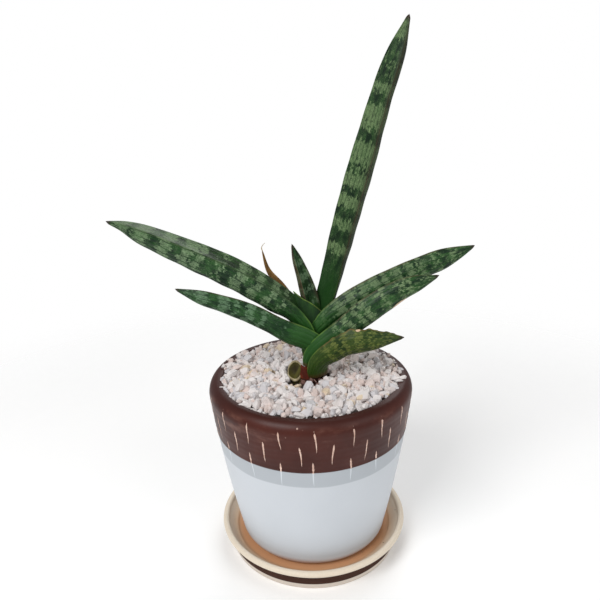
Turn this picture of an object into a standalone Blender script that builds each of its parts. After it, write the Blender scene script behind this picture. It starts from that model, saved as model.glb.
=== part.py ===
"""A young starfish snake plant in a two-tone glazed pot on its saucer.

Units are metres, +Z is up, and the origin is the middle of the saucer's flat
underside. The pot's axis is the Z axis. The leaves stand in two ranks, to -X
and +X, and the tall inner leaf leans to +X.
"""
import itertools
import math
import random

import bmesh
import bpy
import numpy as np
from mathutils import Vector

MM = 0.001
GAP = 0.3 * MM                 # clearance between pieces that touch

# Saucer
SAUCER_FOOT_RADIUS = 52.4 * MM
SAUCER_STRIPE_RADIUS = 54.0 * MM
SAUCER_STRIPE_TOP = 4.8 * MM
SAUCER_LIP_RADIUS = 57.6 * MM
SAUCER_LIP_WIDTH = 3.8 * MM
SAUCER_HEIGHT = 15.4 * MM
SAUCER_FLOOR = 8.0 * MM
SAUCER_WELL_RADIUS = 48.5 * MM

# Pot
POT_BOTTOM = SAUCER_FLOOR + GAP
POT_HEIGHT = 111.0 * MM        # height of the rim's crest above the ground
POT_RIM_RADIUS = 60.0 * MM
POT_SHOULDER_DROP = 7.0 * MM   # the widest place lies this far below the crest
POT_SHOULDER_WIDTH = 5.2 * MM
POT_BASE_RADIUS = 45.5 * MM
POT_BASE_ROUND = 6.0 * MM
POT_BOW = 0.34                 # how much the tapering wall swells
POT_WALL = 5.2 * MM
POT_CREST_WIDTH = 3.0 * MM
POT_FLOOR = 6.5 * MM
POT_DRAIN_RADIUS = 6.0 * MM
POT_BROWN_EDGE = 81.0 * MM
POT_GREY_EDGE = 71.0 * MM
POT_SIDES = 44
POT_WALL_RINGS = (42.0 * MM, POT_GREY_EDGE, POT_BROWN_EDGE, 93.0 * MM)
POT_INSIDE_RINGS = (40.0 * MM, 70.0 * MM)
POT_FLOOR_ROUND = 5.0 * MM     # height of the inner corner at the floor
POT_FLOOR_ROUND_WIDTH = 4.5 * MM

# Fill
SOIL_TOP = 103.0 * MM
SOIL_RING_DROP = 6.0 * MM
SOIL_POCKET_RADIUS = 8.2 * MM
SOIL_POCKET_DEPTH = 12.0 * MM
GRAVEL_EDGE_TOP = 107.0 * MM   # top of the bed that the stones sit in
GRAVEL_MIDDLE_TOP = 108.4 * MM
GRAVEL_HOLE_RADIUS = 13.0 * MM
STONE_SIZE = 3.9 * MM          # half length of a stone
STONE_PITCH = 7.1 * MM
STONE_LIFT = 0.5 * MM
GRAVEL_SEED = 11

# Stem
STEM_RADIUS = 6.2 * MM
STEM_TOP = 113.0 * MM
STEM_BOTTOM = SOIL_TOP - SOIL_POCKET_DEPTH + GAP
STEM_NECK = 98.0 * MM          # below this height the stem tapers in
STEM_CROWN_RISE = 5.0 * MM     # height of its domed top
STUMP_LINE = [(2, 1, 105), (-3.5, 1.5, 106.6), (-7, 1.5, 109), (-8, 1.5, 114)]
STUMP_WIDTHS = (7, 8, 8.2, 7.8)
STUMP_FACE = (0.3, -1.0, 0.0)

# Leaves: the line midway between the two margins, full widths from base to
# tip, the way the channelled upper face looks, and the depth of the round
# belly as a share of half the width. Outer leaves come first.
LEAF_SIDES = 14
LEAF_STATIONS = 20
LEAF_BASE_DEPTH = 0.6          # belly at the very base, as a share of its full depth
LEAF_GAP = 0.38 * MM           # room cut for a leaf in the ones inside it
LEAF_CROWN = 0.22              # rise of the upper face, as a share of half width
LEAVES = [
    dict(name="leaf_front_right",
         line=[(4.6, -3.2, 111.3), (4.2, -3.4, 117.4), (6.6, -4.0, 123.8), (13.8, -5.0, 130.4),
               (23.6, -7.0, 136.4), (38.9, -10.2, 137.8), (53.0, -13.0, 137.6)],
         widths=(12, 14.5, 16, 17.5, 18.5, 16, 9.4, 1),
         face=(-0.4, 0.75, 0.6), depth=1.1, channel=0.85, finish="leaf_olive"),
    dict(name="leaf_right_second",
         line=[(0.8, -1.5, 117.5), (2.5, -1.8, 125.9), (8.7, -2.2, 133.6), (18.6, -3.0, 142),
               (33.2, -4.5, 155.2), (51.3, -6.5, 166.5), (71.9, -8.0, 171.8)],
         widths=(12, 15.5, 15.5, 16, 16.6, 14.6, 10.6, 1),
         face=(-0.4, 0.75, 0.6), depth=1.3, channel=0.8, finish="leaf_green"),
    dict(name="leaf_left_lower",
         line=[(7.4, 1.0, 117.1), (6.8, 1.0, 127.5), (-1.6, 0.8, 135.4), (-15.0, 0.2, 142.2),
               (-33.6, 0.0, 152.6), (-54.4, -0.8, 160.4), (-75.0, -1.0, 165.9)],
         widths=(12, 16, 15, 13, 13, 11.3, 8.9, 1),
         face=(0.35, 0.7, 0.6), depth=1.3, channel=0.85, finish="leaf_green"),
    dict(name="leaf_right_upper",
         line=[(0.1, 5.0, 120.9), (1.8, 5.2, 132.6), (9.6, 6.5, 143.4), (20.7, 7.2, 152.8),
               (45.5, 8.6, 165.9), (70.4, 9.0, 176.7), (95.0, 7.8, 184.0)],
         widths=(11, 15, 17.5, 20, 18, 15, 12.6, 1.2),
         face=(-0.4, 0.7, 0.6), depth=1.3, channel=0.8, finish="leaf_green"),
    dict(name="leaf_left_long",
         line=[(4.0, 4.0, 124.0), (3.8, 4.0, 136.0), (-1.0, 4.0, 147.2), (-12.2, 3.9, 159.4),
               (-39.4, 3.5, 178.0), (-75.5, 1.8, 195.0), (-96.0, 0.7, 202.9), (-109.0, 0.0, 205.2)],
         widths=(13, 16, 18.4, 19.5, 19.8, 18.6, 16, 12, 1.2),
         face=(1.0, 0.0, 1.0), depth=1.5, channel=0.8, finish="leaf_green"),
    dict(name="leaf_young",
         line=[(4.2, 6, 140), (3.2, 6.2, 151), (-0.8, 6.5, 166.4), (-8.6, 7, 188)],
         widths=(9, 11, 11, 10, 8, 5.5, 0.8),
         face=(0.85, -0.7, 0.2), depth=1.2, channel=0.7, finish="leaf_green"),
    dict(name="leaf_tall",
         line=[(2.2, 9.0, 136.5), (9.6, 9.0, 156.0), (20.1, 8.0, 198.0), (30.9, 7.0, 236.7),
               (41.4, 6.0, 272.0), (53.4, 5.0, 303.8)],
         widths=(12, 13.2, 13.8, 14.8, 15.2, 15.3, 13.8, 12.4, 10.6, 1.6),
         face=(-0.75, -0.75, 0.2), depth=1.25, channel=0.55, finish="leaf_green"),
    dict(name="leaf_thin_dry",
         line=[(0, 7, 141), (-9.2, 14.5, 153.5), (-15.6, 16.5, 162), (-22.8, 17.5, 170.5),
               (-26.2, 18.5, 182)],
         widths=(5, 5.8, 6, 5.8, 4.6, 2.6, 0.7),
         face=(0.55, -0.60, 0.58), depth=0.6, channel=0.3, finish="leaf_dry"),
]

FINISHES = {
    "brown_glaze": ((0.085, 0.018, 0.011), 0.30),
    "grey_glaze": ((0.47, 0.53, 0.58), 0.40),
    "white_glaze": ((0.66, 0.69, 0.72), 0.38),
    "tan_glaze": ((0.46, 0.29, 0.18), 0.42),
    "soil": ((0.020, 0.014, 0.010), 0.95),
    "stone": ((0.62, 0.56, 0.53), 0.75),
    "stem_brown": ((0.13, 0.065, 0.020), 0.80),
    "leaf_green": ((0.050, 0.125, 0.045), 0.45),
    "leaf_olive": ((0.085, 0.120, 0.025), 0.50),
    "leaf_dry": ((0.20, 0.13, 0.05), 0.75),
}


def clear_scene():
    """Remove every object that is in the scene."""
    for item in list(bpy.data.objects):
        bpy.data.objects.remove(item, do_unlink=True)


def finish(name):
    """Return the named material, made on first use."""
    material = bpy.data.materials.get(name)
    if material is None:
        colour, roughness = FINISHES[name]
        material = bpy.data.materials.new(name)
        material.use_nodes = True
        shader = material.node_tree.nodes["Principled BSDF"]
        shader.inputs["Base Color"].default_value = (*colour, 1.0)
        shader.inputs["Roughness"].default_value = roughness
        shader.inputs["Metallic"].default_value = 0.0
    return material


def add_object(name, shape, finishes, smooth_angle=40):
    """Turn a bmesh into a named object with smooth shading and materials."""
    bmesh.ops.recalc_face_normals(shape, faces=shape.faces)
    mesh = bpy.data.meshes.new(name)
    shape.to_mesh(mesh)
    shape.free()
    mesh.shade_smooth()
    mesh.set_sharp_from_angle(angle=math.radians(smooth_angle))
    item = bpy.data.objects.new(name, mesh)
    bpy.context.scene.collection.objects.link(item)
    for finish_name in finishes:
        mesh.materials.append(finish(finish_name))
    return item


def settle_modifiers(item):
    """Apply an object's modifiers to its mesh."""
    bpy.context.view_layer.update()
    depsgraph = bpy.context.evaluated_depsgraph_get()
    mesh = bpy.data.meshes.new_from_object(item.evaluated_get(depsgraph))
    item.modifiers.clear()
    item.data = mesh


def arc(centre_r, centre_z, width, height, start, end, steps):
    """Points of an elliptical arc in the (radius, height) plane, in degrees."""
    points = []
    for step in range(steps + 1):
        turn = math.radians(start + (end - start) * step / steps)
        points.append((centre_r + width * math.cos(turn),
                       centre_z + height * math.sin(turn)))
    return points


def turned(name, profile, sides, finishes):
    """Revolve a closed profile of (radius, height) points about the Z axis."""
    shape = bmesh.new()
    rings = []
    for radius, height in profile:
        if radius < 1e-7:
            rings.append([shape.verts.new((0.0, 0.0, height))])
            continue
        ring = []
        for side in range(sides):
            turn = 2.0 * math.pi * side / sides
            ring.append(shape.verts.new((radius * math.cos(turn),
                                         radius * math.sin(turn), height)))
        rings.append(ring)
    count = len(rings)
    closed = len(rings[0]) > 1 or len(rings[-1]) > 1
    for index in range(count if closed else count - 1):
        join_rings(shape, rings[index], rings[(index + 1) % count], sides)
    return add_object(name, shape, finishes)


def join_rings(shape, lower, upper, sides):
    """Bridge two rings of vertices, either of which may be a single pole."""
    for side in range(sides):
        other = (side + 1) % sides
        if len(lower) == 1 and len(upper) == 1:
            return
        if len(lower) == 1:
            shape.faces.new((lower[0], upper[other], upper[side]))
        elif len(upper) == 1:
            shape.faces.new((lower[side], lower[other], upper[0]))
        else:
            shape.faces.new((lower[side], lower[other], upper[other], upper[side]))


def saucer():
    """Shallow saucer: foot, dark stripe, flaring side, round lip and well."""
    lip = SAUCER_LIP_WIDTH / 2
    lip_z = SAUCER_HEIGHT - lip
    profile = [(0.0, 0.0), (SAUCER_FOOT_RADIUS, 0.0),
               (SAUCER_FOOT_RADIUS + 0.8 * MM, 1.2 * MM),
               (SAUCER_STRIPE_RADIUS, SAUCER_STRIPE_TOP)]
    profile += arc(SAUCER_LIP_RADIUS - lip, lip_z, lip, lip, -20, 190, 7)
    profile += [(SAUCER_WELL_RADIUS, SAUCER_FLOOR + 1.0 * MM),
                (SAUCER_WELL_RADIUS - 2.0 * MM, SAUCER_FLOOR),
                (0.0, SAUCER_FLOOR)]
    return turned("saucer", profile, POT_SIDES, ["tan_glaze"])


def pot_radius(height):
    """Outer radius of the pot's wall, which tapers down with a slight swell."""
    top = POT_HEIGHT - POT_SHOULDER_DROP
    bottom = POT_BOTTOM + POT_BASE_ROUND
    part = (height - bottom) / (top - bottom)
    part = part + POT_BOW * part * (1.0 - part)
    return POT_BASE_RADIUS + (POT_RIM_RADIUS - POT_BASE_RADIUS) * part


def inner_radius(height):
    """Radius of the pot's inside, a wall's thickness in from its outside."""
    return pot_radius(height) - POT_WALL


def pot_profile():
    """Closed profile of the pot, from its drain hole out, up and back inside."""
    top = POT_HEIGHT - POT_SHOULDER_DROP
    round_z = POT_BOTTOM + POT_BASE_ROUND
    points = [(POT_DRAIN_RADIUS, POT_BOTTOM)]
    points += arc(POT_BASE_RADIUS - POT_BASE_ROUND, round_z, POT_BASE_ROUND,
                  POT_BASE_ROUND, -90, -15, 3)
    for height in (round_z, *POT_WALL_RINGS, top - 1.0 * MM):
        points.append((pot_radius(height), height))
    points += arc(POT_RIM_RADIUS - POT_SHOULDER_WIDTH, top, POT_SHOULDER_WIDTH,
                  POT_SHOULDER_DROP, 10, 90, 5)
    inner = POT_RIM_RADIUS - POT_SHOULDER_WIDTH - POT_CREST_WIDTH
    points += [(inner + 0.9 * MM, POT_HEIGHT - 0.7 * MM),
               (inner, POT_HEIGHT - 2.6 * MM)]
    floor = POT_BOTTOM + POT_FLOOR
    corner = floor + POT_FLOOR_ROUND
    for height in (SOIL_TOP - SOIL_RING_DROP, *POT_INSIDE_RINGS[::-1], corner):
        points.append((min(inner_radius(height), inner), height))
    points += [(inner_radius(corner) - POT_FLOOR_ROUND_WIDTH, floor),
               (POT_DRAIN_RADIUS, floor)]
    return points


def pot():
    """Thick tapering pot with a rounded rim, glazed in three bands."""
    item = turned("pot", pot_profile(), POT_SIDES,
                  ["white_glaze", "grey_glaze", "brown_glaze"])
    for face in item.data.polygons:
        if face.center.z > POT_BROWN_EDGE:
            face.material_index = 2
        elif face.center.z > POT_GREY_EDGE:
            face.material_index = 1
    return item


def soil():
    """Potting soil that fills the pot, with a pocket for the stem."""
    floor = POT_BOTTOM + POT_FLOOR + GAP
    pocket = SOIL_TOP - SOIL_POCKET_DEPTH
    corner = floor + POT_FLOOR_ROUND
    reach = inner_radius(corner) - POT_FLOOR_ROUND_WIDTH - 2.3 * GAP
    profile = [(0.0, floor), (reach, floor)]
    crest = POT_RIM_RADIUS - POT_SHOULDER_WIDTH - POT_CREST_WIDTH
    for height in (corner, *POT_INSIDE_RINGS, SOIL_TOP - SOIL_RING_DROP, SOIL_TOP):
        radius = min(inner_radius(height), crest) - 1.5 * GAP
        profile.append((radius, height))
    profile += [(SOIL_POCKET_RADIUS, SOIL_TOP), (SOIL_POCKET_RADIUS, pocket),
                (0.0, pocket)]
    return turned("potting_soil", profile, 32, ["soil"])


def bed_height(radius):
    """Height of the gravel bed, a low mound from the rim to the middle."""
    edge = POT_RIM_RADIUS - POT_SHOULDER_WIDTH - POT_CREST_WIDTH
    part = min(radius / edge, 1.0)
    return GRAVEL_MIDDLE_TOP + (GRAVEL_EDGE_TOP - GRAVEL_MIDDLE_TOP) * part ** 2


def stone(rng, centre, size):
    """One angular stone: a box with its corners pushed in and out."""
    shape = bmesh.new()
    spin = rng.uniform(0.0, 2.0 * math.pi)
    tilt = rng.uniform(-0.5, 0.5)
    lengths = (size, size * rng.uniform(0.62, 0.9), size * rng.uniform(0.5, 0.75))
    for corner in itertools.product((-1.0, 1.0), repeat=3):
        push = [rng.uniform(0.55, 0.95) for _ in range(3)]
        x, y, z = (corner[i] * push[i] * lengths[i] for i in range(3))
        lean_x = x * math.cos(tilt) - z * math.sin(tilt)
        lean_z = x * math.sin(tilt) + z * math.cos(tilt)
        place = Vector((lean_x * math.cos(spin) - y * math.sin(spin),
                        lean_x * math.sin(spin) + y * math.cos(spin), lean_z))
        shape.verts.new(centre + place)
    hull = bmesh.ops.convex_hull(shape, input=shape.verts)
    loose = [g for g in hull["geom_interior"] + hull["geom_unused"]
             if isinstance(g, bmesh.types.BMVert)]
    bmesh.ops.delete(shape, geom=loose, context="VERTS")
    bmesh.ops.triangulate(shape, faces=shape.faces)
    return shape


def stone_places(rng):
    """Jittered hexagonal places for the stones, between hole and rim."""
    reach = POT_RIM_RADIUS - POT_SHOULDER_WIDTH - POT_CREST_WIDTH - 1.25 * STONE_SIZE
    rows = int(2 * reach / (STONE_PITCH * 0.866)) + 2
    places = []
    for row in range(-rows, rows + 1):
        for column in range(-rows, rows + 1):
            x = (column + 0.5 * (row % 2)) * STONE_PITCH + rng.uniform(-0.7, 0.7) * MM
            y = row * STONE_PITCH * 0.866 + rng.uniform(-0.7, 0.7) * MM
            radius = math.hypot(x, y)
            if GRAVEL_HOLE_RADIUS + STONE_SIZE * 0.6 < radius < reach:
                places.append((x, y, bed_height(radius)))
    ring = int(2 * math.pi * reach / STONE_PITCH)
    for index in range(ring):
        turn = 2 * math.pi * (index + rng.uniform(-0.15, 0.15)) / ring
        places.append((reach * math.cos(turn), reach * math.sin(turn),
                       bed_height(reach)))
    return places


def gravel():
    """Bed of white stones round the stem, all fused to one body."""
    rng = random.Random(GRAVEL_SEED)
    edge = POT_RIM_RADIUS - POT_SHOULDER_WIDTH - POT_CREST_WIDTH - 1.5 * GAP
    profile = [(GRAVEL_HOLE_RADIUS, SOIL_TOP + GAP), (edge, SOIL_TOP + GAP)]
    for part in (1.0, 0.75, 0.5, 0.3):
        profile.append((edge * part, bed_height(edge * part)))
    profile.append((GRAVEL_HOLE_RADIUS, bed_height(GRAVEL_HOLE_RADIUS) - 1.5 * MM))
    item = turned("gravel", profile, 36, ["stone"])
    stones = bpy.data.collections.new("stones")
    bpy.context.scene.collection.children.link(stones)
    for index, place in enumerate(stone_places(rng)):
        lift = STONE_LIFT + rng.uniform(-0.4, 0.7) * MM
        centre = Vector(place) + Vector((0.0, 0.0, lift))
        shape = stone(rng, centre, STONE_SIZE * rng.uniform(0.85, 1.1))
        mesh = bpy.data.meshes.new("stone")
        bmesh.ops.recalc_face_normals(shape, faces=shape.faces)
        shape.to_mesh(mesh)
        shape.free()
        mesh.materials.append(finish("stone"))
        stones.objects.link(bpy.data.objects.new("stone_%03d" % index, mesh))
    union = item.modifiers.new("stones", "BOOLEAN")
    union.operation = "UNION"
    union.operand_type = "COLLECTION"
    union.collection = stones
    union.solver = "MANIFOLD"
    settle_modifiers(item)
    for piece in list(stones.objects):
        bpy.data.objects.remove(piece, do_unlink=True)
    bpy.data.collections.remove(stones)
    keep_largest(item)
    return item


def stem():
    """Short stem with a cut-back leaf stump beside it."""
    item = loft("stem", STUMP_LINE, STUMP_WIDTHS, STUMP_FACE, 0.8, 0.0, 12, 6,
                "stem_brown")
    profile = [(0.0, STEM_BOTTOM), (STEM_RADIUS * 0.8, STEM_BOTTOM)]
    profile += [(STEM_RADIUS, STEM_NECK)]
    profile += arc(0.0, STEM_TOP - STEM_CROWN_RISE, STEM_RADIUS, STEM_CROWN_RISE,
                   0, 90, 4)[:-1]
    profile += [(0.0, STEM_TOP)]
    core = turned("stem_core", profile, 16, ["stem_brown"])
    union = item.modifiers.new("core", "BOOLEAN")
    union.operation = "UNION"
    union.object = core
    settle_modifiers(item)
    bpy.data.objects.remove(core, do_unlink=True)
    return item


def spline(points, part):
    """Point on a smooth curve through its control points, at a part of its spans."""
    spans = len(points) - 1
    place = min(max(part, 0.0), 1.0) * spans
    index = min(int(place), spans - 1)
    t = place - index
    p1 = points[index]
    p2 = points[index + 1]
    p0 = points[index - 1] if index > 0 else 2 * p1 - p2
    p3 = points[index + 2] if index + 2 <= spans else 2 * p2 - p1
    return 0.5 * (2 * p1 + (p2 - p0) * t + (2 * p0 - 5 * p1 + 4 * p2 - p3) * t ** 2
                  + (3 * p1 - p0 - 3 * p2 + p3) * t ** 3)


def middle_line(points, count):
    """Points at even distances along the smooth curve through the given ones."""
    fine = np.array([spline(points, step / 200) for step in range(201)])
    run = np.concatenate(([0.0], np.cumsum(np.linalg.norm(np.diff(fine, axis=0),
                                                          axis=1))))
    even = np.linspace(0.0, run[-1], count)
    return np.stack([np.interp(even, run, fine[:, axis]) for axis in range(3)], 1)


def blade_ring(centre, along, face, half, depth, channel, sides, grow):
    """Ring of a leaf: round below, and channelled above between its margins."""
    normal = face - along * np.dot(face, along)
    normal /= np.linalg.norm(normal)
    across = np.cross(along, normal)
    turn = np.linspace(0.0, 2.0 * np.pi, sides, endpoint=False)
    sine = np.sin(turn)
    rise = np.where(sine < 0.0, depth * half * sine,
                    LEAF_CROWN * half * sine - channel * half * sine ** 2)
    outline = np.stack((half * np.cos(turn), rise), 1)
    edge = np.roll(outline, -1, axis=0) - outline
    edge /= np.linalg.norm(edge, axis=1)[:, None]
    after = np.stack((edge[:, 1], -edge[:, 0]), 1)
    before = np.roll(after, 1, axis=0)
    spread = np.maximum(1.0 + (after * before).sum(axis=1), 0.12)
    outline += grow * (after + before) / spread[:, None]
    return centre + outline[:, :1] * across + outline[:, 1:] * normal


def loft(name, line, widths, face, depth, channel, sides, stations, finish_name,
         grow=0.0, base_depth=1.0):
    """Blade carried along a smooth line, from a flat base to a tip."""
    centres = middle_line(np.array(line, dtype=float) * MM, stations + 1)
    alongs = np.gradient(centres, axis=0)
    alongs /= np.linalg.norm(alongs, axis=1)[:, None]
    centres[0] -= grow * alongs[0]
    centres[-1] += grow * alongs[-1]
    sizes = np.array(widths, dtype=float) * MM / 2
    facing = np.array(face, dtype=float)
    shape = bmesh.new()
    rings = []
    for station, (centre, along) in enumerate(zip(centres, alongs)):
        part = station / stations
        half = max(float(spline(sizes, part)), sizes[-1])
        belly = depth * min(1.0, base_depth + (1.0 - base_depth) * part / 0.3)
        groove = channel * belly * (1.0 - part) ** 0.8
        ring = blade_ring(centre, along, facing, half, belly, groove, sides, grow)
        rings.append([shape.verts.new(point) for point in ring])
    for lower, upper in zip(rings[:-1], rings[1:]):
        join_rings(shape, lower, upper, sides)
    shape.faces.new(rings[0][::-1])
    shape.faces.new(rings[-1])
    bmesh.ops.triangulate(shape, faces=shape.faces, quad_method="FIXED")
    return add_object(name, shape, [finish_name])


def keep_largest(item, merge=0.0):
    """Drop the loose scraps of a cut, and merge points closer than a distance."""
    shape = bmesh.new()
    shape.from_mesh(item.data)
    left = set(shape.verts)
    bodies = []
    while left:
        front = [left.pop()]
        body = list(front)
        while front:
            vert = front.pop()
            for edge in vert.link_edges:
                other = edge.other_vert(vert)
                if other in left:
                    left.remove(other)
                    front.append(other)
                    body.append(other)
        bodies.append(body)
    bodies.sort(key=len)
    for body in bodies[:-1]:
        bmesh.ops.delete(shape, geom=body, context="VERTS")
    if merge > 0.0:
        bmesh.ops.remove_doubles(shape, verts=shape.verts, dist=merge)
        bmesh.ops.dissolve_degenerate(shape, edges=shape.edges, dist=merge / 2)
    bmesh.ops.triangulate(shape, faces=shape.faces)
    shape.to_mesh(item.data)
    shape.free()


def leaf(values, grow=0.0, suffix=""):
    """Make one leaf, or its swollen copy that cuts room for it in others."""
    return loft(values["name"] + suffix, values["line"], values["widths"],
                values["face"], values["depth"], values["channel"], LEAF_SIDES,
                LEAF_STATIONS, values["finish"], grow, LEAF_BASE_DEPTH)


def make_leaves(carrier):
    """Leaves from the outermost in, each cut back to clear the ones outside it."""
    cutters = [swollen(carrier)]
    for values in LEAVES:
        item = leaf(values)
        for cutter in cutters:
            cut = item.modifiers.new("clear", "BOOLEAN")
            cut.operation = "DIFFERENCE"
            cut.object = cutter
            cut.solver = "MANIFOLD"
            settle_modifiers(item)
            keep_largest(item, 0.015 * MM)
        cutters.append(leaf(values, LEAF_GAP, "_cutter"))
    for cutter in cutters:
        bpy.data.objects.remove(cutter, do_unlink=True)


def swollen(item):
    """Copy of an object grown outwards along its normals by the gap."""
    copy = item.copy()
    copy.data = item.data.copy()
    bpy.context.scene.collection.objects.link(copy)
    shape = bmesh.new()
    shape.from_mesh(copy.data)
    shape.normal_update()
    moved = [(vert, vert.co + vert.normal * GAP * 1.2) for vert in shape.verts]
    for vert, place in moved:
        vert.co = place
    shape.to_mesh(copy.data)
    shape.free()
    return copy


def main():
    """Build the whole plant in its pot."""
    clear_scene()
    saucer()
    pot()
    soil()
    gravel()
    make_leaves(stem())


main()
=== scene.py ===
"""Dressed model of a young starfish snake plant in a glazed pot on its saucer.

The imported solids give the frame. Every visible piece is a finer surface that
stands for its solid: the turned saucer and pot, the bed of crushed stone, the
soil round the stem, the cut-back stem and the leaves with their cross-bands.
Lengths are written in millimetres and turned to metres when a mesh is made.
"""
import logging
import math
from dataclasses import dataclass, field
from enum import Enum
from functools import cache

import bpy
import numpy as np
from mathutils import Matrix


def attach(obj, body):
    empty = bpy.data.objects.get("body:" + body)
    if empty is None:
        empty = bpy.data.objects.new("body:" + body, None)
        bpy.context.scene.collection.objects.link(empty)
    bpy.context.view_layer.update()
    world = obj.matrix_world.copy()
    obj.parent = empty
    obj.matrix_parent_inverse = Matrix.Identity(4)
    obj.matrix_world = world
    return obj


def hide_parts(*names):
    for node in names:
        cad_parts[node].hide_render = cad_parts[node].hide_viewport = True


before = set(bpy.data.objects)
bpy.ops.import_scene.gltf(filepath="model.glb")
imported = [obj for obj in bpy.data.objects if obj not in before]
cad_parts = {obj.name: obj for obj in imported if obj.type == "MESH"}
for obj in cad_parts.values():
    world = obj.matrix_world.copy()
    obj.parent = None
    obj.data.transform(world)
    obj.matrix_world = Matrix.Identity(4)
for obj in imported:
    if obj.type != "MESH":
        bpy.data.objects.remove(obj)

LOG = logging.getLogger("snake_plant")
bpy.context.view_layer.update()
MM = 0.001
BODY = "root"
WHITE = (1.0, 1.0, 1.0, 1.0)

Colour = tuple[float, float, float, float]
Point = tuple[float, float, float]
Socket = bpy.types.NodeSocket


class Shading(Enum):
    """How a mesh's faces take the light."""

    SMOOTH = "smooth"
    FACETED = "faceted"


def paint(red: int, green: int, blue: int) -> Colour:
    """Turn a screen colour into the linear colour that a shader takes.

    Args:
        red: Red as seen on a screen, 0 to 255.
        green: Green, 0 to 255.
        blue: Blue, 0 to 255.

    Returns:
        Linear red, green and blue, and an alpha of one.
    """
    parts = []
    for value in (red, green, blue):
        share = value / 255
        parts.append(share / 12.92 if share <= 0.04045 else ((share + 0.055) / 1.055) ** 2.4)
    return (parts[0], parts[1], parts[2], 1.0)


MARGIN_GREEN = paint(104, 140, 56)
DRY_TIP = paint(58, 42, 34)
BROWN_FOOT = paint(70, 44, 24)
TO_VIEWER = (0.3, -1.0, 0.0)


def smoothstep(values: np.ndarray, low: float, high: float) -> np.ndarray:
    """Rise smoothly from 0 at low to 1 at high: 3 t squared less 2 t cubed."""
    part = np.clip((values - low) / (high - low), 0.0, 1.0)
    return part * part * (3.0 - 2.0 * part)


def full_turn(columns: int) -> np.ndarray:
    """Even angles round one full turn, in radians, its end left out."""
    return np.linspace(0.0, 2.0 * np.pi, columns, endpoint=False)


def unit(rows: np.ndarray) -> np.ndarray:
    """Rows of numbers, each divided by its length."""
    return rows / np.linalg.norm(rows, axis=1)[:, None]


# ---------------------------------------------------------------- meshes

@dataclass
class Skin:
    """Points, faces and corner coordinates of a mesh under construction.

    Attributes:
        points: Places in millimetres, one row each.
        faces: Arrays of corner indices, one array for each corner count.
        corners: Pattern coordinates of every face corner, in the faces' order.
        marks: Named numbers for each point, read by the materials.
    """

    points: np.ndarray
    faces: list[np.ndarray]
    corners: list[np.ndarray] = field(default_factory=list)
    marks: dict[str, np.ndarray] = field(default_factory=dict)

    def volume(self) -> float:
        """Signed volume: a third of the sum of each fan triangle's box product."""
        total = 0.0
        for ring in self.faces:
            for step in range(1, ring.shape[1] - 1):
                first = self.points[ring[:, 0]]
                second = self.points[ring[:, step]]
                third = self.points[ring[:, step + 1]]
                total += float(np.einsum("ij,ij->", first, np.cross(second, third))) / 6.0
        return total

    def turn_outwards(self) -> None:
        """Reverse every face when the closed skin's volume comes out negative."""
        if self.volume() < 0.0:
            self.faces = [ring[:, ::-1] for ring in self.faces]
            self.corners = [values[:, ::-1] for values in self.corners]

    def to_object(self, name: str, shading: Shading = Shading.SMOOTH) -> bpy.types.Object:
        """Make the skin a mesh object at the origin.

        Args:
            name: The object's name.
            shading: Smooth or faceted.

        Returns:
            The new object, linked to the scene.
        """
        mesh = bpy.data.meshes.new(name)
        faces = [face for ring in self.faces for face in ring.tolist()]
        mesh.from_pydata((self.points * MM).tolist(), [], faces)
        if self.corners:
            layer = mesh.uv_layers.new(name="pattern")
            flat = np.concatenate([values.reshape(-1, 2) for values in self.corners])
            layer.data.foreach_set("uv", flat.astype(np.float32).ravel())
        for mark, values in self.marks.items():
            attribute = mesh.attributes.new(mark, "FLOAT", "POINT")
            attribute.data.foreach_set("value", values.astype(np.float32))
        mesh.polygons.foreach_set("use_smooth", [shading is Shading.SMOOTH] * len(faces))
        item = bpy.data.objects.new(name, mesh)
        bpy.context.scene.collection.objects.link(item)
        return item


def cells(here: np.ndarray, there: np.ndarray, columns: int) -> np.ndarray:
    """Four-sided faces between two closed rows of points.

    Args:
        here: Number of the first point of each row, with a last axis of one.
        there: Number of the first point of the row that it joins.
        columns: Points in a row.

    Returns:
        Four point numbers for each row and column.
    """
    column = np.arange(columns)
    after = (column + 1) % columns
    return np.stack((here + column, here + after, there + after, there + column), -1)


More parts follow.
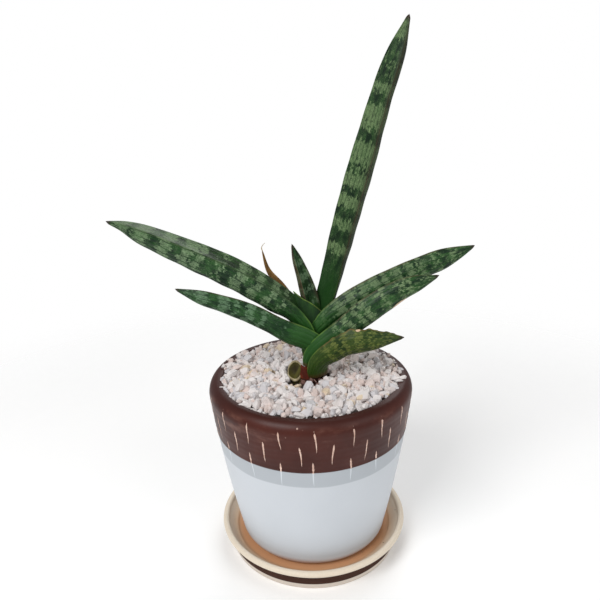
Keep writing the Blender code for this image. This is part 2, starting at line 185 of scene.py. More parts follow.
def grid_skin(grid: np.ndarray, along: np.ndarray | None = None, loop_rows: bool = False,
              start: np.ndarray | None = None, end: np.ndarray | None = None) -> Skin:
    """Skin a grid of points whose columns close on themselves.

    Each cell of the grid is one four-sided face. A pole point closes the first
    or the last row with a fan of triangles.

    Args:
        grid: Points in millimetres, shaped rows, columns, 3.
        along: First pattern coordinate of each row; the second runs 0 to 1 round.
        loop_rows: Whether the last row joins the first.
        start: Pole that closes the first row.
        end: Pole that closes the last row.

    Returns:
        The skin, with its faces pointing outwards.
    """
    rows, columns = grid.shape[:2]
    points = grid.reshape(-1, 3)
    row = np.arange(rows if loop_rows else rows - 1)[:, None]
    after_row = (row + 1) % rows
    faces = [cells(row * columns, after_row * columns, columns).reshape(-1, 4)]
    corners = []
    spot = np.arange(columns)
    after = (spot + 1) % columns
    if along is not None:
        low, high, left, right = np.broadcast_arrays(
            along[row], along[after_row], spot / columns, (spot + 1) / columns)
        pairs = ((low, left), (low, right), (high, right), (high, left))
        stacked = np.stack([np.stack(pair, -1) for pair in pairs], 2)
        corners.append(stacked.reshape(-1, 4, 2))
    for pole, base, order in ((start, 0, 1), (end, (rows - 1) * columns, -1)):
        if pole is None:
            continue
        tip = np.full(columns, len(points))
        points = np.vstack((points, pole))
        ring = np.stack((base + after, base + spot, tip), 1)
        faces.append(ring[:, ::order])
        if along is not None:
            place = np.full(columns, along[0] if base == 0 else along[-1])
            pairs = ((spot + 1) / columns, spot / columns, (spot + 0.5) / columns)
            fan = np.stack([np.stack((place, value), 1) for value in pairs], 1)
            corners.append(fan[:, ::order])
    skin = Skin(points, faces, corners)
    skin.turn_outwards()
    return skin


def capped_skin(grid: np.ndarray, along: np.ndarray) -> Skin:
    """Skin a grid and close its first and last rows at their middles."""
    return grid_skin(grid, along, start=grid[0].mean(axis=0), end=grid[-1].mean(axis=0))


def turned_grid(profile: np.ndarray, columns: int) -> np.ndarray:
    """Carry a profile round the Z axis.

    Args:
        profile: Radius and height pairs.
        columns: Steps in one full turn.

    Returns:
        Grid of radius cos turn, radius sin turn, height.
    """
    turn = full_turn(columns)
    radius = profile[:, :1]
    return np.stack((radius * np.cos(turn), radius * np.sin(turn),
                     np.broadcast_to(profile[:, 1:], (len(profile), columns))), -1)


def arc(centre: tuple[float, float], width: float, height: float, start: float,
        end: float, steps: int) -> np.ndarray:
    """Points of an elliptical arc in the radius and height plane.

    Args:
        centre: Radius and height of the arc's middle.
        width: Half axis along the radius.
        height: Half axis along the height.
        start: First angle in degrees.
        end: Last angle in degrees.
        steps: Stretches between points.

    Returns:
        Radius and height pairs.
    """
    turn = np.radians(np.linspace(start, end, steps + 1))
    return np.stack((centre[0] + width * np.cos(turn), centre[1] + height * np.sin(turn)), 1)


def spline(points: np.ndarray, parts: np.ndarray) -> np.ndarray:
    """Smooth curve through control points, by the Catmull-Rom cubic of each span.

    Args:
        points: Control values, one row each.
        parts: Places from 0 to 1 over all spans.

    Returns:
        One value for each place.
    """
    values = points if points.ndim > 1 else points[:, None]
    padded = np.vstack((2 * values[0] - values[1], values, 2 * values[-1] - values[-2]))
    spans = len(values) - 1
    place = np.clip(parts, 0.0, 1.0) * spans
    index = np.minimum(place.astype(int), spans - 1)
    t = (place - index)[:, None]
    p0, p1, p2, p3 = (padded[index + step] for step in range(4))
    curve = 0.5 * (2 * p1 + (p2 - p0) * t + (2 * p0 - 5 * p1 + 4 * p2 - p3) * t ** 2
                   + (3 * p1 - p0 - 3 * p2 + p3) * t ** 3)
    return curve if points.ndim > 1 else curve[:, 0]


def even_line(points: np.ndarray, parts: np.ndarray) -> tuple[np.ndarray, float]:
    """Smooth curve sampled by distance along it.

    Args:
        points: Control points in millimetres.
        parts: Shares of the length, from 0 to 1.

    Returns:
        The points at those shares, and the whole length.
    """
    fine = spline(points, np.linspace(0.0, 1.0, 401))
    steps = np.linalg.norm(np.diff(fine, axis=0), axis=1)
    run = np.concatenate(([0.0], np.cumsum(steps)))
    places = np.stack([np.interp(parts * run[-1], run, fine[:, axis]) for axis in range(3)], 1)
    return places, float(run[-1])


def frames(line: tuple[Point, ...], parts: np.ndarray, facing: Point
           ) -> tuple[np.ndarray, np.ndarray, np.ndarray, np.ndarray, float]:
    """Smooth line with the directions in which a section lies across it.

    Across is the cross product of along and facing, and up that of across and
    along, so that the three stand square.

    Args:
        line: Points of the line in millimetres.
        parts: Shares of its length at which the section stands.
        facing: Rough direction of the section's own up.

    Returns:
        The places, the directions along, across and up, and the line's length.
    """
    places, length = even_line(np.array(line, dtype=float), parts)
    along = unit(np.gradient(places, axis=0))
    across = unit(np.cross(along, np.array(facing, dtype=float)))
    return places, along, across, np.cross(across, along), length


def carried(places: np.ndarray, across: np.ndarray, up: np.ndarray, wide: np.ndarray,
            rise: np.ndarray) -> np.ndarray:
    """Grid of each row's place, plus wide times across, plus rise times up."""
    return (places[:, None, :] + wide[..., None] * across[:, None, :]
            + rise[..., None] * up[:, None, :])


# ---------------------------------------------------------------- shader trees

class Tree:
    """Short ways to add and join the nodes of one shader tree."""

    def __init__(self, tree: bpy.types.NodeTree) -> None:
        """Keep the tree that is built."""
        self.tree = tree

    def node(self, kind: str, **settings: object) -> bpy.types.Node:
        """Add a node of a kind and set its plain settings."""
        made = self.tree.nodes.new(kind)
        for name, value in settings.items():
            setattr(made, name, value)
        return made

    def feed(self, socket: Socket, value: object) -> None:
        """Join another node's output to a socket, or set the socket's own value."""
        if isinstance(value, bpy.types.NodeSocket):
            self.tree.links.new(value, socket)
        elif value is not None:
            socket.default_value = value

    def math(self, operation: str, first: object, second: object = None,
             third: object = None) -> Socket:
        """One arithmetic step on up to three numbers."""
        made = self.node("ShaderNodeMath", operation=operation)
        for socket, value in zip(made.inputs, (first, second, third)):
            self.feed(socket, value)
        return made.outputs[0]

    def smooth(self, value: object, low: float, high: float) -> Socket:
        """Rise smoothly from 0 at low to 1 at high."""
        made = self.node("ShaderNodeMapRange", interpolation_type="SMOOTHSTEP")
        self.feed(made.inputs["Value"], value)
        self.feed(made.inputs["From Min"], low)
        self.feed(made.inputs["From Max"], high)
        return made.outputs["Result"]

    def fall(self, value: object, low: float, high: float) -> Socket:
        """Fall smoothly from 1 at low to 0 at high."""
        return self.rest(self.smooth(value, low, high))

    def edge(self, value: Socket, middle: float, half: float) -> Socket:
        """Rise from 0 to 1 within half either side of a middle, in millimetres."""
        return self.smooth(value, (middle - half) * MM, (middle + half) * MM)

    def times(self, first: object, second: object) -> Socket:
        """The first number times the second."""
        return self.math("MULTIPLY", first, second)

    def plus(self, first: object, second: object) -> Socket:
        """The first number plus the second."""
        return self.math("ADD", first, second)

    def less(self, first: object, second: object) -> Socket:
        """The first number less the second."""
        return self.math("SUBTRACT", first, second)

    def rest(self, share: object) -> Socket:
        """What a share leaves of one."""
        return self.math("SUBTRACT", 1.0, share)

    def raised(self, base: object, value: object, factor: object) -> Socket:
        """A base number plus a value times a factor."""
        return self.math("MULTIPLY_ADD", value, factor, base)

    def distance(self, first: Socket, second: Socket) -> Socket:
        """Root of the sum of two squares."""
        return self.math("SQRT", self.plus(self.times(first, first),
                                           self.times(second, second)))

    def mix(self, share: object, first: object, second: object) -> Socket:
        """Go from the first colour to the second as share goes from 0 to 1."""
        made = self.node("ShaderNodeMix", data_type="RGBA")
        self.feed(made.inputs[0], share)
        self.feed(made.inputs[6], first)
        self.feed(made.inputs[7], second)
        return made.outputs[2]

    def between(self, share: object, first: object, second: object) -> Socket:
        """Go from the first number to the second as share goes from 0 to 1."""
        made = self.node("ShaderNodeMix", data_type="FLOAT")
        self.feed(made.inputs[0], share)
        self.feed(made.inputs[2], first)
        self.feed(made.inputs[3], second)
        return made.outputs[0]

    def place(self) -> Socket:
        """Object coordinates in metres."""
        return self.node("ShaderNodeTexCoord").outputs["Object"]

    def split(self, vector: Socket) -> tuple[Socket, Socket, Socket]:
        """The three parts of a vector."""
        made = self.node("ShaderNodeSeparateXYZ")
        self.feed(made.inputs[0], vector)
        return made.outputs[0], made.outputs[1], made.outputs[2]

    def join(self, first: object, second: object, third: object = 0.0) -> Socket:
        """A vector from three numbers."""
        made = self.node("ShaderNodeCombineXYZ")
        for socket, value in zip(made.inputs, (first, second, third)):
            self.feed(socket, value)
        return made.outputs[0]

    def scaled(self, vector: Socket, factors: Point) -> Socket:
        """A vector with each part multiplied by its own factor."""
        made = self.node("ShaderNodeVectorMath", operation="MULTIPLY")
        self.feed(made.inputs[0], vector)
        made.inputs[1].default_value = factors
        return made.outputs[0]

    def stretched(self, along: Socket, length: float, around: Socket, width: float,
                  seed: Socket) -> Socket:
        """Place on a leaf, scaled along by length and round by width, and its seed."""
        return self.join(self.times(along, length), self.times(around, width), seed)

    def noise(self, vector: Socket, scale: object, detail: float = 2.0,
              roughness: float = 0.5) -> Socket:
        """Smooth noise from 0 to 1."""
        made = self.node("ShaderNodeTexNoise")
        for name, value in (("Vector", vector), ("Scale", scale), ("Detail", detail),
                            ("Roughness", roughness)):
            self.feed(made.inputs[name], value)
        return made.outputs["Fac"]

    def wobble(self, vector: Socket, scale: float, reach: float) -> Socket:
        """Noise about zero, from end to end this many millimetres."""
        return self.times(self.less(self.noise(vector, scale, 3.0), 0.5), reach * MM)

    def random(self, vector: Socket, dimensions: str) -> Socket:
        """A number from 0 to 1 drawn for each place, which has 2D or 3D parts."""
        made = self.node("ShaderNodeTexWhiteNoise", noise_dimensions=dimensions)
        self.feed(made.inputs["Vector"], vector)
        return made.outputs["Value"]

    def spots(self, vector: Socket, scale: float, size: float) -> Socket:
        """Round spots: 1 within a size of scattered points, and 0 away from them."""
        made = self.node("ShaderNodeTexVoronoi")
        self.feed(made.inputs["Vector"], vector)
        made.inputs["Scale"].default_value = scale
        return self.fall(made.outputs["Distance"], size * 0.6, size)

    def ramp(self, value: Socket, stops: tuple[tuple[float, float], ...]) -> Socket:
        """A number that follows stops of place and level, eased between them."""
        made = self.node("ShaderNodeValToRGB")
        self.feed(made.inputs[0], value)
        made.color_ramp.interpolation = "EASE"
        elements = made.color_ramp.elements
        while len(elements) > 1:
            elements.remove(elements[-1])
        for index, (place, level) in enumerate(stops):
            stop = elements[0] if index == 0 else elements.new(place)
            stop.position = place
            stop.color = (level, level, level, 1.0)
        return made.outputs[0]

    def bump(self, height: Socket, distance: float, strength: float = 1.0) -> Socket:
        """Normals of a surface raised by a height, at most by a distance in metres."""
        made = self.node("ShaderNodeBump")
        made.inputs["Strength"].default_value = strength
        made.inputs["Distance"].default_value = distance
        self.feed(made.inputs["Height"], height)
        return made.outputs["Normal"]

    def group(self, tree: bpy.types.NodeTree, **values: object) -> bpy.types.Node:
        """Place a node group and feed its inputs by name."""
        made = self.node("ShaderNodeGroup", node_tree=tree)
        for name, value in values.items():
            self.feed(made.inputs[name], value)
        return made


class Effect(Tree):
    """Tree of a shader group that several materials share."""

    def __init__(self, name: str, inputs: dict[str, str], outputs: dict[str, str]) -> None:
        """Start the group.

        Args:
            name: The group's name.
            inputs: Names of the input sockets by kind, with spaces between them.
            outputs: Names of the output sockets in the same way.
        """
        super().__init__(bpy.data.node_groups.new(name, "ShaderNodeTree"))
        for direction, sockets in (("INPUT", inputs), ("OUTPUT", outputs)):
            for kind, names in sockets.items():
                for socket_name in names.split():
                    self.tree.interface.new_socket(socket_name, in_out=direction,
                                                   socket_type=f"NodeSocket{kind}")
        self.get = self.node("NodeGroupInput").outputs
        self.sink = self.node("NodeGroupOutput").inputs

    def put(self, **values: Socket) -> bpy.types.NodeTree:
        """Feed the group's outputs by name and hand the group over."""
        for name, value in values.items():
            self.feed(self.sink[name], value)
        return self.tree


class Coat(Tree):
    """Tree of one new material."""

    def __init__(self, name: str) -> None:
        """Start the material of that name."""
        self.material = bpy.data.materials.new(name)
        self.material.use_nodes = True
        super().__init__(self.material.node_tree)
        self.shader = self.tree.nodes["Principled BSDF"]

    def cloud(self, place: Socket, light: Colour, deep: Colour, size: float,
              grain: float) -> tuple[Socket, Socket]:
        """Cloudy colour between two paints, and fine grain, by counts to a metre."""
        made = self.group(mottle(), Place=place, Light=light, Deep=deep, Size=size,
                          Grain=grain)
        return made.outputs["Colour"], made.outputs["Height"]

    def finish(self, colour: Socket, rough: Socket, height: Socket | None = None,
               lift: float = 0.0, strength: float = 1.0, shine: float = 0.5
               ) -> bpy.types.Material:
        """Feed the shader and hand the material over.

        Args:
            colour: Its colour.
            rough: Its roughness.
            height: Relief from 0 to 1, if it has any.
            lift: Millimetres that a relief of 1 stands for.
            strength: Strength of the relief.
            shine: Its specular level.

        Returns:
            The material.
        """
        self.feed(self.shader.inputs["Base Color"], colour)
        self.feed(self.shader.inputs["Roughness"], rough)
        self.shader.inputs["Specular IOR Level"].default_value = shine
        if height is not None:
            self.feed(self.shader.inputs["Normal"], self.bump(height, lift * MM, strength))
        return self.material


def dress(item: bpy.types.Object, material: bpy.types.Material, slot: str,
          *nodes: str) -> bpy.types.Object:
    """Give a piece its material and its body, and hide the solids that it stands for.

    Args:
        item: The finished piece.
        material: Its material.
        slot: Name of the record's finish slot; not used.
        nodes: Solids that the piece replaces.

    Returns:
        The piece.
    """
    item.data.materials.append(material)
    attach(item, BODY)
    if nodes:
        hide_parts(*nodes)
    LOG.info("%s: %d faces", item.name, len(item.data.polygons))
    return item


# ---------------------------------------------------------------- shared effects

@cache
def mottle() -> bpy.types.NodeTree:
    """Cloudy change between two colours, with fine grain as a height.

    Returns:
        A group with inputs Place, Light, Deep, Size and Grain and outputs
        Colour and Height.
    """
    tree = Effect("cloudy_mottle",
                  {"Vector": "Place", "Color": "Light Deep", "Float": "Size Grain"},
                  {"Color": "Colour", "Float": "Height"})
    get = tree.get
    share = tree.smooth(tree.noise(get["Place"], get["Size"], 5.0), 0.3, 0.7)
    return tree.put(Colour=tree.mix(share, get["Light"], get["Deep"]),
                    Height=tree.noise(get["Place"], get["Grain"]))


@cache
def fibres() -> bpy.types.NodeTree:
    """Lengthwise fibres of a leaf, which break its bands into offset blocks.

    The way round the leaf is cut into strips. Each strip shifts the bands
    along by its own amount, and fine streaks fray their ends.

    Returns:
        A group with inputs Along, Around, Strips, Shift and Seed, and
        outputs Shifted, Line, Streak and Block.
    """
    tree = Effect("leaf_fibres", {"Float": "Along Around Strips Shift Seed"},
                  {"Float": "Shifted Line Streak Block"})
    get = tree.get
    along, around, seed = get["Along"], get["Around"], get["Seed"]
    wander = tree.noise(tree.stretched(along, 0.05, around, 5.0, seed), 1.0)
    cell = tree.times(tree.raised(around, wander, 0.05), get["Strips"])
    strip = tree.less(tree.random(tree.join(tree.math("FLOOR", cell), seed), "2D"), 0.5)
    streak = tree.noise(tree.stretched(along, 0.22, around, 75.0, seed), 1.0, 3.0, 0.6)
    fray = tree.times(tree.less(streak, 0.5), 1.6)
    shifted = tree.plus(along, tree.times(tree.plus(strip, fray), get["Shift"]))
    block = tree.join(tree.math("FLOOR", tree.times(shifted, 0.8)),
                      tree.math("FLOOR", tree.times(cell, 2.0)), seed)
    off_middle = tree.math("ABSOLUTE", tree.less(tree.math("FRACT", cell), 0.5))
    return tree.put(Shifted=shifted, Line=tree.smooth(off_middle, 0.4, 0.5),
                    Streak=streak, Block=tree.random(block, "3D"))


@cache
def leaf_colours() -> bpy.types.NodeTree:
    """Colours of a banded leaf, from its base to its dry point.

    The bands' level, made ragged by blots and blocks, parts pale from green.
    Flecks, dark lines, the tan upper face and the painted shade of the belly side, the green
    sheath, the thin margin, the dry point and the brown foot follow, each laid over the ones
    before.

    Returns:
        A group whose inputs are the place on the leaf, the band's level and
        the leaf's paints, and whose outputs are Colour, Rough and Height.
    """
    tree = Effect("leaf_colours",
                  {"Float": "Along Around Length Level Line Streak Block Seed Sheath Flecks "
                            "Upper", "Color": "Pale Fresh Dark Tan Base Edge"},
                  {"Color": "Colour", "Float": "Rough Height"})
    get = tree.get
    along, around, seed = get["Along"], get["Around"], get["Seed"]
    line, streak, block = get["Line"], get["Streak"], get["Block"]
    spot = tree.stretched(along, 0.9, around, 90.0, seed)
    blot = tree.noise(spot, 1.0, 3.0, 0.6)
    fine = tree.noise(spot, 2.6, 2.0, 0.55)
    broad = tree.noise(tree.stretched(along, 0.12, around, 9.0, seed), 1.0)
    ragged = tree.raised(get["Level"], tree.less(blot, 0.5), 0.8)
    ragged = tree.raised(ragged, tree.less(block, 0.5), 0.42)
    pale = tree.smooth(ragged, 0.4, 0.6)
    for share in (tree.between(tree.smooth(fine, 0.38, 0.58), 0.25, 1.0),
                  tree.between(block, 0.5, 1.0), tree.between(line, 1.0, 0.15)):
        pale = tree.times(pale, share)
    fleck = tree.smooth(fine, 0.54, 0.64)
    for share in (get["Flecks"], tree.between(block, 0.2, 1.0), tree.smooth(broad, 0.35, 0.6)):
        fleck = tree.times(fleck, share)
    pale = tree.math("MAXIMUM", pale, fleck)
    patch = tree.raised(broad, tree.less(streak, 0.5), 0.8)
    colour = tree.mix(tree.smooth(patch, 0.35, 0.7), get["Dark"], get["Fresh"])
    colour = tree.mix(pale, colour, get["Pale"])
    colour = tree.mix(tree.times(line, 0.35), colour, get["Dark"])
    # Tan over the upper face, and over the belly side as painted shade.
    colour = tree.mix(get["Upper"], colour, get["Tan"])
    grown = tree.less(tree.math("DIVIDE", along, get["Sheath"]), tree.times(streak, 0.5))
    sheath = tree.fall(grown, 0.35, 0.95)
    green = tree.mix(tree.smooth(blot, 0.25, 0.75), get["Base"], get["Fresh"])
    colour = tree.mix(tree.times(sheath, 0.85), colour, green)
    half_turn = tree.math("FRACT", tree.raised(0.5, around, 2.0))
    rim = tree.fall(tree.math("ABSOLUTE", tree.less(half_turn, 0.5)), 0.012, 0.034)
    rim = tree.times(rim, tree.between(tree.smooth(broad, 0.4, 0.55), 0.2, 0.5))
    colour = tree.mix(rim, colour, tree.mix(sheath, get["Edge"], MARGIN_GREEN))
    tip = tree.fall(tree.raised(tree.less(get["Length"], along), blot, 3.0), 2.2, 5.5)
    colour = tree.mix(tree.times(tip, 0.9), colour, DRY_TIP)
    colour = tree.mix(tree.times(tree.fall(along, 0.6, 4.0), 0.75), colour, BROWN_FOOT)
    ridge = tree.less(streak, tree.times(line, 0.8))
    return tree.put(Colour=colour, Rough=tree.between(pale, 0.42, 0.56),
                    Height=tree.raised(ridge, fine, 0.4))


# ---------------------------------------------------------------- pottery

@dataclass(frozen=True)
class SaucerGlaze:
    """Cream glaze that darkens to tan in the well, partly glaze pooling and partly painted shade
    by the pot's foot, with a dark stripe outside.
    """

    cream: Colour = paint(226, 213, 194)
    tan: Colour = paint(206, 174, 142)
    pooled_glaze_and_shade: Colour = paint(204, 154, 114)
    stripe: Colour = paint(62, 36, 25)
    foot: Colour = paint(210, 198, 186)

    def material(self, shape: "Saucer") -> bpy.types.Material:
        """Build the glaze.

        Args:
            shape: The saucer, whose sizes place the glaze's edges.

        Returns:
            The material.
        """
        tree = Coat("saucer_glaze")
        place = tree.place()
        x, y, z = tree.split(place)
        radius = tree.distance(x, y)
        _, grain = tree.cloud(place, self.cream, self.tan, size=38.0, grain=900.0)
        wobble = tree.wobble(place, 45.0, 3.0)
        reach = tree.plus(radius, wobble)
        # The well darkens from cream towards the pot's foot: partly glaze pooling, partly painted
        # shade from the pot.
        inside = tree.fall(reach, (shape.well_radius - 1.0) * MM, (shape.lip_radius - 3.5) * MM)
        above = tree.edge(z, shape.floor - 1.5, 0.5)
        colour = tree.mix(tree.times(tree.smooth(grain, 0.4, 0.7), 0.12), self.cream, self.tan)
        well = tree.mix(tree.edge(reach, shape.well_radius - 0.5, 2.5), self.pooled_glaze_and_shade, self.tan)
        colour = tree.mix(tree.times(inside, above), colour, well)
        low = tree.raised(z, wobble, 0.12)
        over_foot = tree.edge(low, shape.stripe_foot, 0.2)
        under_lip = tree.rest(tree.edge(low, shape.stripe_top, 0.3))
        outside = tree.edge(radius, shape.well_radius + 2.75, 0.25)
        stripe = tree.times(tree.times(over_foot, under_lip), outside)
        colour = tree.mix(tree.rest(over_foot), colour, self.foot)
        colour = tree.mix(stripe, colour, self.stripe)
        specks = tree.times(tree.spots(place, 120.0, 0.08),
                            tree.smooth(tree.noise(place, 30.0), 0.5, 0.6))
        colour = tree.mix(tree.times(specks, 0.6), colour, self.stripe)
        rough = tree.raised(tree.between(grain, 0.28, 0.5), stripe, 0.35)
        return tree.finish(colour, rough, grain, lift=0.05, strength=0.5, shine=0.18)


@dataclass
class Saucer:
    """Turned saucer with a foot, a painted stripe, a flaring side and a round lip."""

    foot_radius: float = 52.4
    stripe_foot: float = 3.9
    stripe_radius: float = 53.8
    stripe_top: float = 9.6
    lip_radius: float = 57.6
    lip_width: float = 3.8
    height: float = 15.4
    floor: float = 8.0
    well_radius: float = 48.5
    columns: int = 224
    glaze: SaucerGlaze = SaucerGlaze()

    def profile(self) -> np.ndarray:
        """Closed outline from the underside's middle, out, up, over and in."""
        lip = self.lip_width / 2
        lip_middle = (self.lip_radius - lip, self.height - lip)
        under = np.array([(12.0, 0.9), (self.foot_radius - 7.0, 0.9),
                          (self.foot_radius - 5.0, 0.0)])
        foot = arc((self.foot_radius - 0.8, 0.8), 0.8, 0.8, -90, 10, 5)
        stripe = np.array([(self.foot_radius + 0.35, 1.7),
                           (self.foot_radius + 0.7, self.stripe_foot),
                           (self.foot_radius + 0.85, self.stripe_foot + 0.6),
                           (self.stripe_radius - 0.2, self.stripe_top - 2.4)])
        groove = np.array([(self.stripe_radius, self.stripe_top - 0.8),
                           (self.stripe_radius + 0.5, self.stripe_top)])
        part = np.linspace(0.15, 0.9, 6)[:, None]
        low = groove[-1]
        high = np.array([self.lip_radius - 0.1, self.height - lip * 1.4])
        flare = low + (high - low) * part
        flare[:, 0] -= 0.35 * np.sin(np.pi * part[:, 0])
        lip_arc = arc(lip_middle, lip, lip, -20, 190, 16)
        inner_low = np.array([self.well_radius, self.floor + 0.9])
        part = np.linspace(0.12, 0.95, 8)[:, None]
        inside = lip_arc[-1] + (inner_low - lip_arc[-1]) * part
        inside[:, 1] -= 0.9 * np.sin(np.pi * part[:, 0])
        round_in = arc((self.well_radius - 2.6, self.floor + 1.0), 2.6, 1.0, -10, -90, 5)
        floor = np.array([(36.0, self.floor), (18.0, self.floor)])
        return np.vstack((under, foot, stripe, groove, flare, lip_arc, inside, round_in, floor))

    def build(self) -> bpy.types.Object:
        """Turn the profile, let the lip dip a little, and dress it."""
        profile = self.profile()
        grid = turned_grid(profile, self.columns)
        lift = smoothstep(profile[:, 1], self.floor, self.height)[:, None]
        grid[..., 2] -= 0.12 * lift * (1.0 + np.sin(2 * full_turn(self.columns) + 0.7))
        skin = grid_skin(grid, start=np.array([0.0, 0.0, profile[0, 1]]),
                         end=np.array([0.0, 0.0, self.floor]))
        return dress(skin.to_object("saucer_body"), self.glaze.material(self),
                     "saucer_glaze", "saucer")


@dataclass(frozen=True)
class PotGlaze:
    """Three glazes over one another: brown shoulder, grey-blue band, white foot."""

    brown: Colour = paint(79, 35, 26)
    brown_deep: Colour = paint(58, 22, 15)
    # Lighter shoulder paint: partly real wear, partly painted sheen.
    wear_and_sheen: Colour = paint(124, 84, 72)
    grey: Colour = paint(181, 187, 193)
    white: Colour = paint(208, 213, 219)
    stain: Colour = paint(170, 132, 112)
    clay: Colour = paint(221, 188, 172)

    def material(self, shape: "Pot") -> bpy.types.Material:
        """Build the glaze.

        Args:
            shape: The pot, whose sizes place the glaze's edges.

        Returns:
            The material.
        """
        tree = Coat("pot_glaze")
        place = tree.place()
        z = tree.split(place)[2]
        streaks = tree.noise(tree.scaled(place, (1.0, 1.0, 0.25)), 120.0, 4.0, 0.6)
        coat, brown_grain = tree.cloud(place, self.brown, self.brown_deep, size=26.0,
                                       grain=520.0)
        coat = tree.mix(tree.times(tree.smooth(streaks, 0.35, 0.7), 0.35), coat,
                        self.brown_deep)
        # A lighter patch high on the shoulder: partly real wear, partly painted sheen.
        smear = tree.noise(tree.scaled(place, (1.0, 1.0, 2.6)), 34.0, 4.0, 0.65)
        shoulder = tree.times(tree.edge(z, shape.height - 14.0, 4.0),
                              tree.rest(tree.edge(z, shape.height - 3.0, 2.0)))
        wear_and_sheen = tree.times(tree.smooth(smear, 0.52, 0.72), shoulder)
        coat = tree.mix(tree.times(wear_and_sheen, 0.7), coat, self.wear_and_sheen)
        pits = tree.times(tree.spots(place, 150.0, 0.1),
                          tree.smooth(tree.noise(place, 60.0), 0.56, 0.62))
        coat = tree.mix(tree.times(pits, 0.7), coat, self.clay)
        # Darker along the rim's top: painted shade where the stones meet the rim.
        coat = tree.mix(tree.edge(z, shape.height - 1.5, 2.0), coat, self.brown_deep)
        clouded, white_grain = tree.cloud(place, self.white, self.grey, size=14.0,
                                          grain=700.0)
        colour = tree.mix(0.25, self.white, clouded)
        wobble = tree.wobble(place, 22.0, 2.2)
        height = tree.plus(z, wobble)
        colour = tree.mix(tree.edge(height, shape.grey_edge, 0.5), colour, self.grey)
        over_brown = tree.edge(height, shape.brown_edge, 0.2)
        colour = tree.mix(over_brown, colour, coat)
        low = tree.raised(z, wobble, 1.5)
        stain = tree.rest(tree.edge(low, shape.bottom + 4.5, 2.5))
        colour = tree.mix(tree.times(stain, 0.8), colour, self.stain)
        specks = tree.times(tree.spots(place, 60.0, 0.045),
                            tree.smooth(tree.noise(place, 25.0), 0.55, 0.6))
        colour = tree.mix(tree.times(specks, tree.rest(over_brown)), colour, self.brown_deep)
        rough = tree.between(over_brown, tree.between(white_grain, 0.36, 0.5),
                             tree.between(streaks, 0.34, 0.5))
        relief = tree.raised(brown_grain, streaks, 0.25)
        return tree.finish(colour, rough, relief, lift=0.06, strength=0.5, shine=0.26)


@dataclass(frozen=True)
class ClayMarks:
    """Bare pale clay that shows where the glaze was scratched away."""

    clay: Colour = paint(240, 210, 194)
    deep: Colour = paint(196, 158, 140)
    washed: Colour = paint(214, 220, 226)

    def material(self, shape: "Pot") -> bpy.types.Material:
        """Build the bare clay, whiter where it lies below the brown glaze.

        Args:
            shape: The pot, whose brown edge parts the two tints.

        Returns:
            The material.
        """
        tree = Coat("scratched_clay")
        place = tree.place()
        clouded, grain = tree.cloud(place, self.clay, self.deep, size=420.0, grain=1500.0)
        share = tree.edge(tree.split(place)[2], shape.brown_edge - 0.2, 0.4)
        return tree.finish(tree.mix(share, self.washed, clouded),
                           tree.between(grain, 0.6, 0.85), grain, lift=0.05)


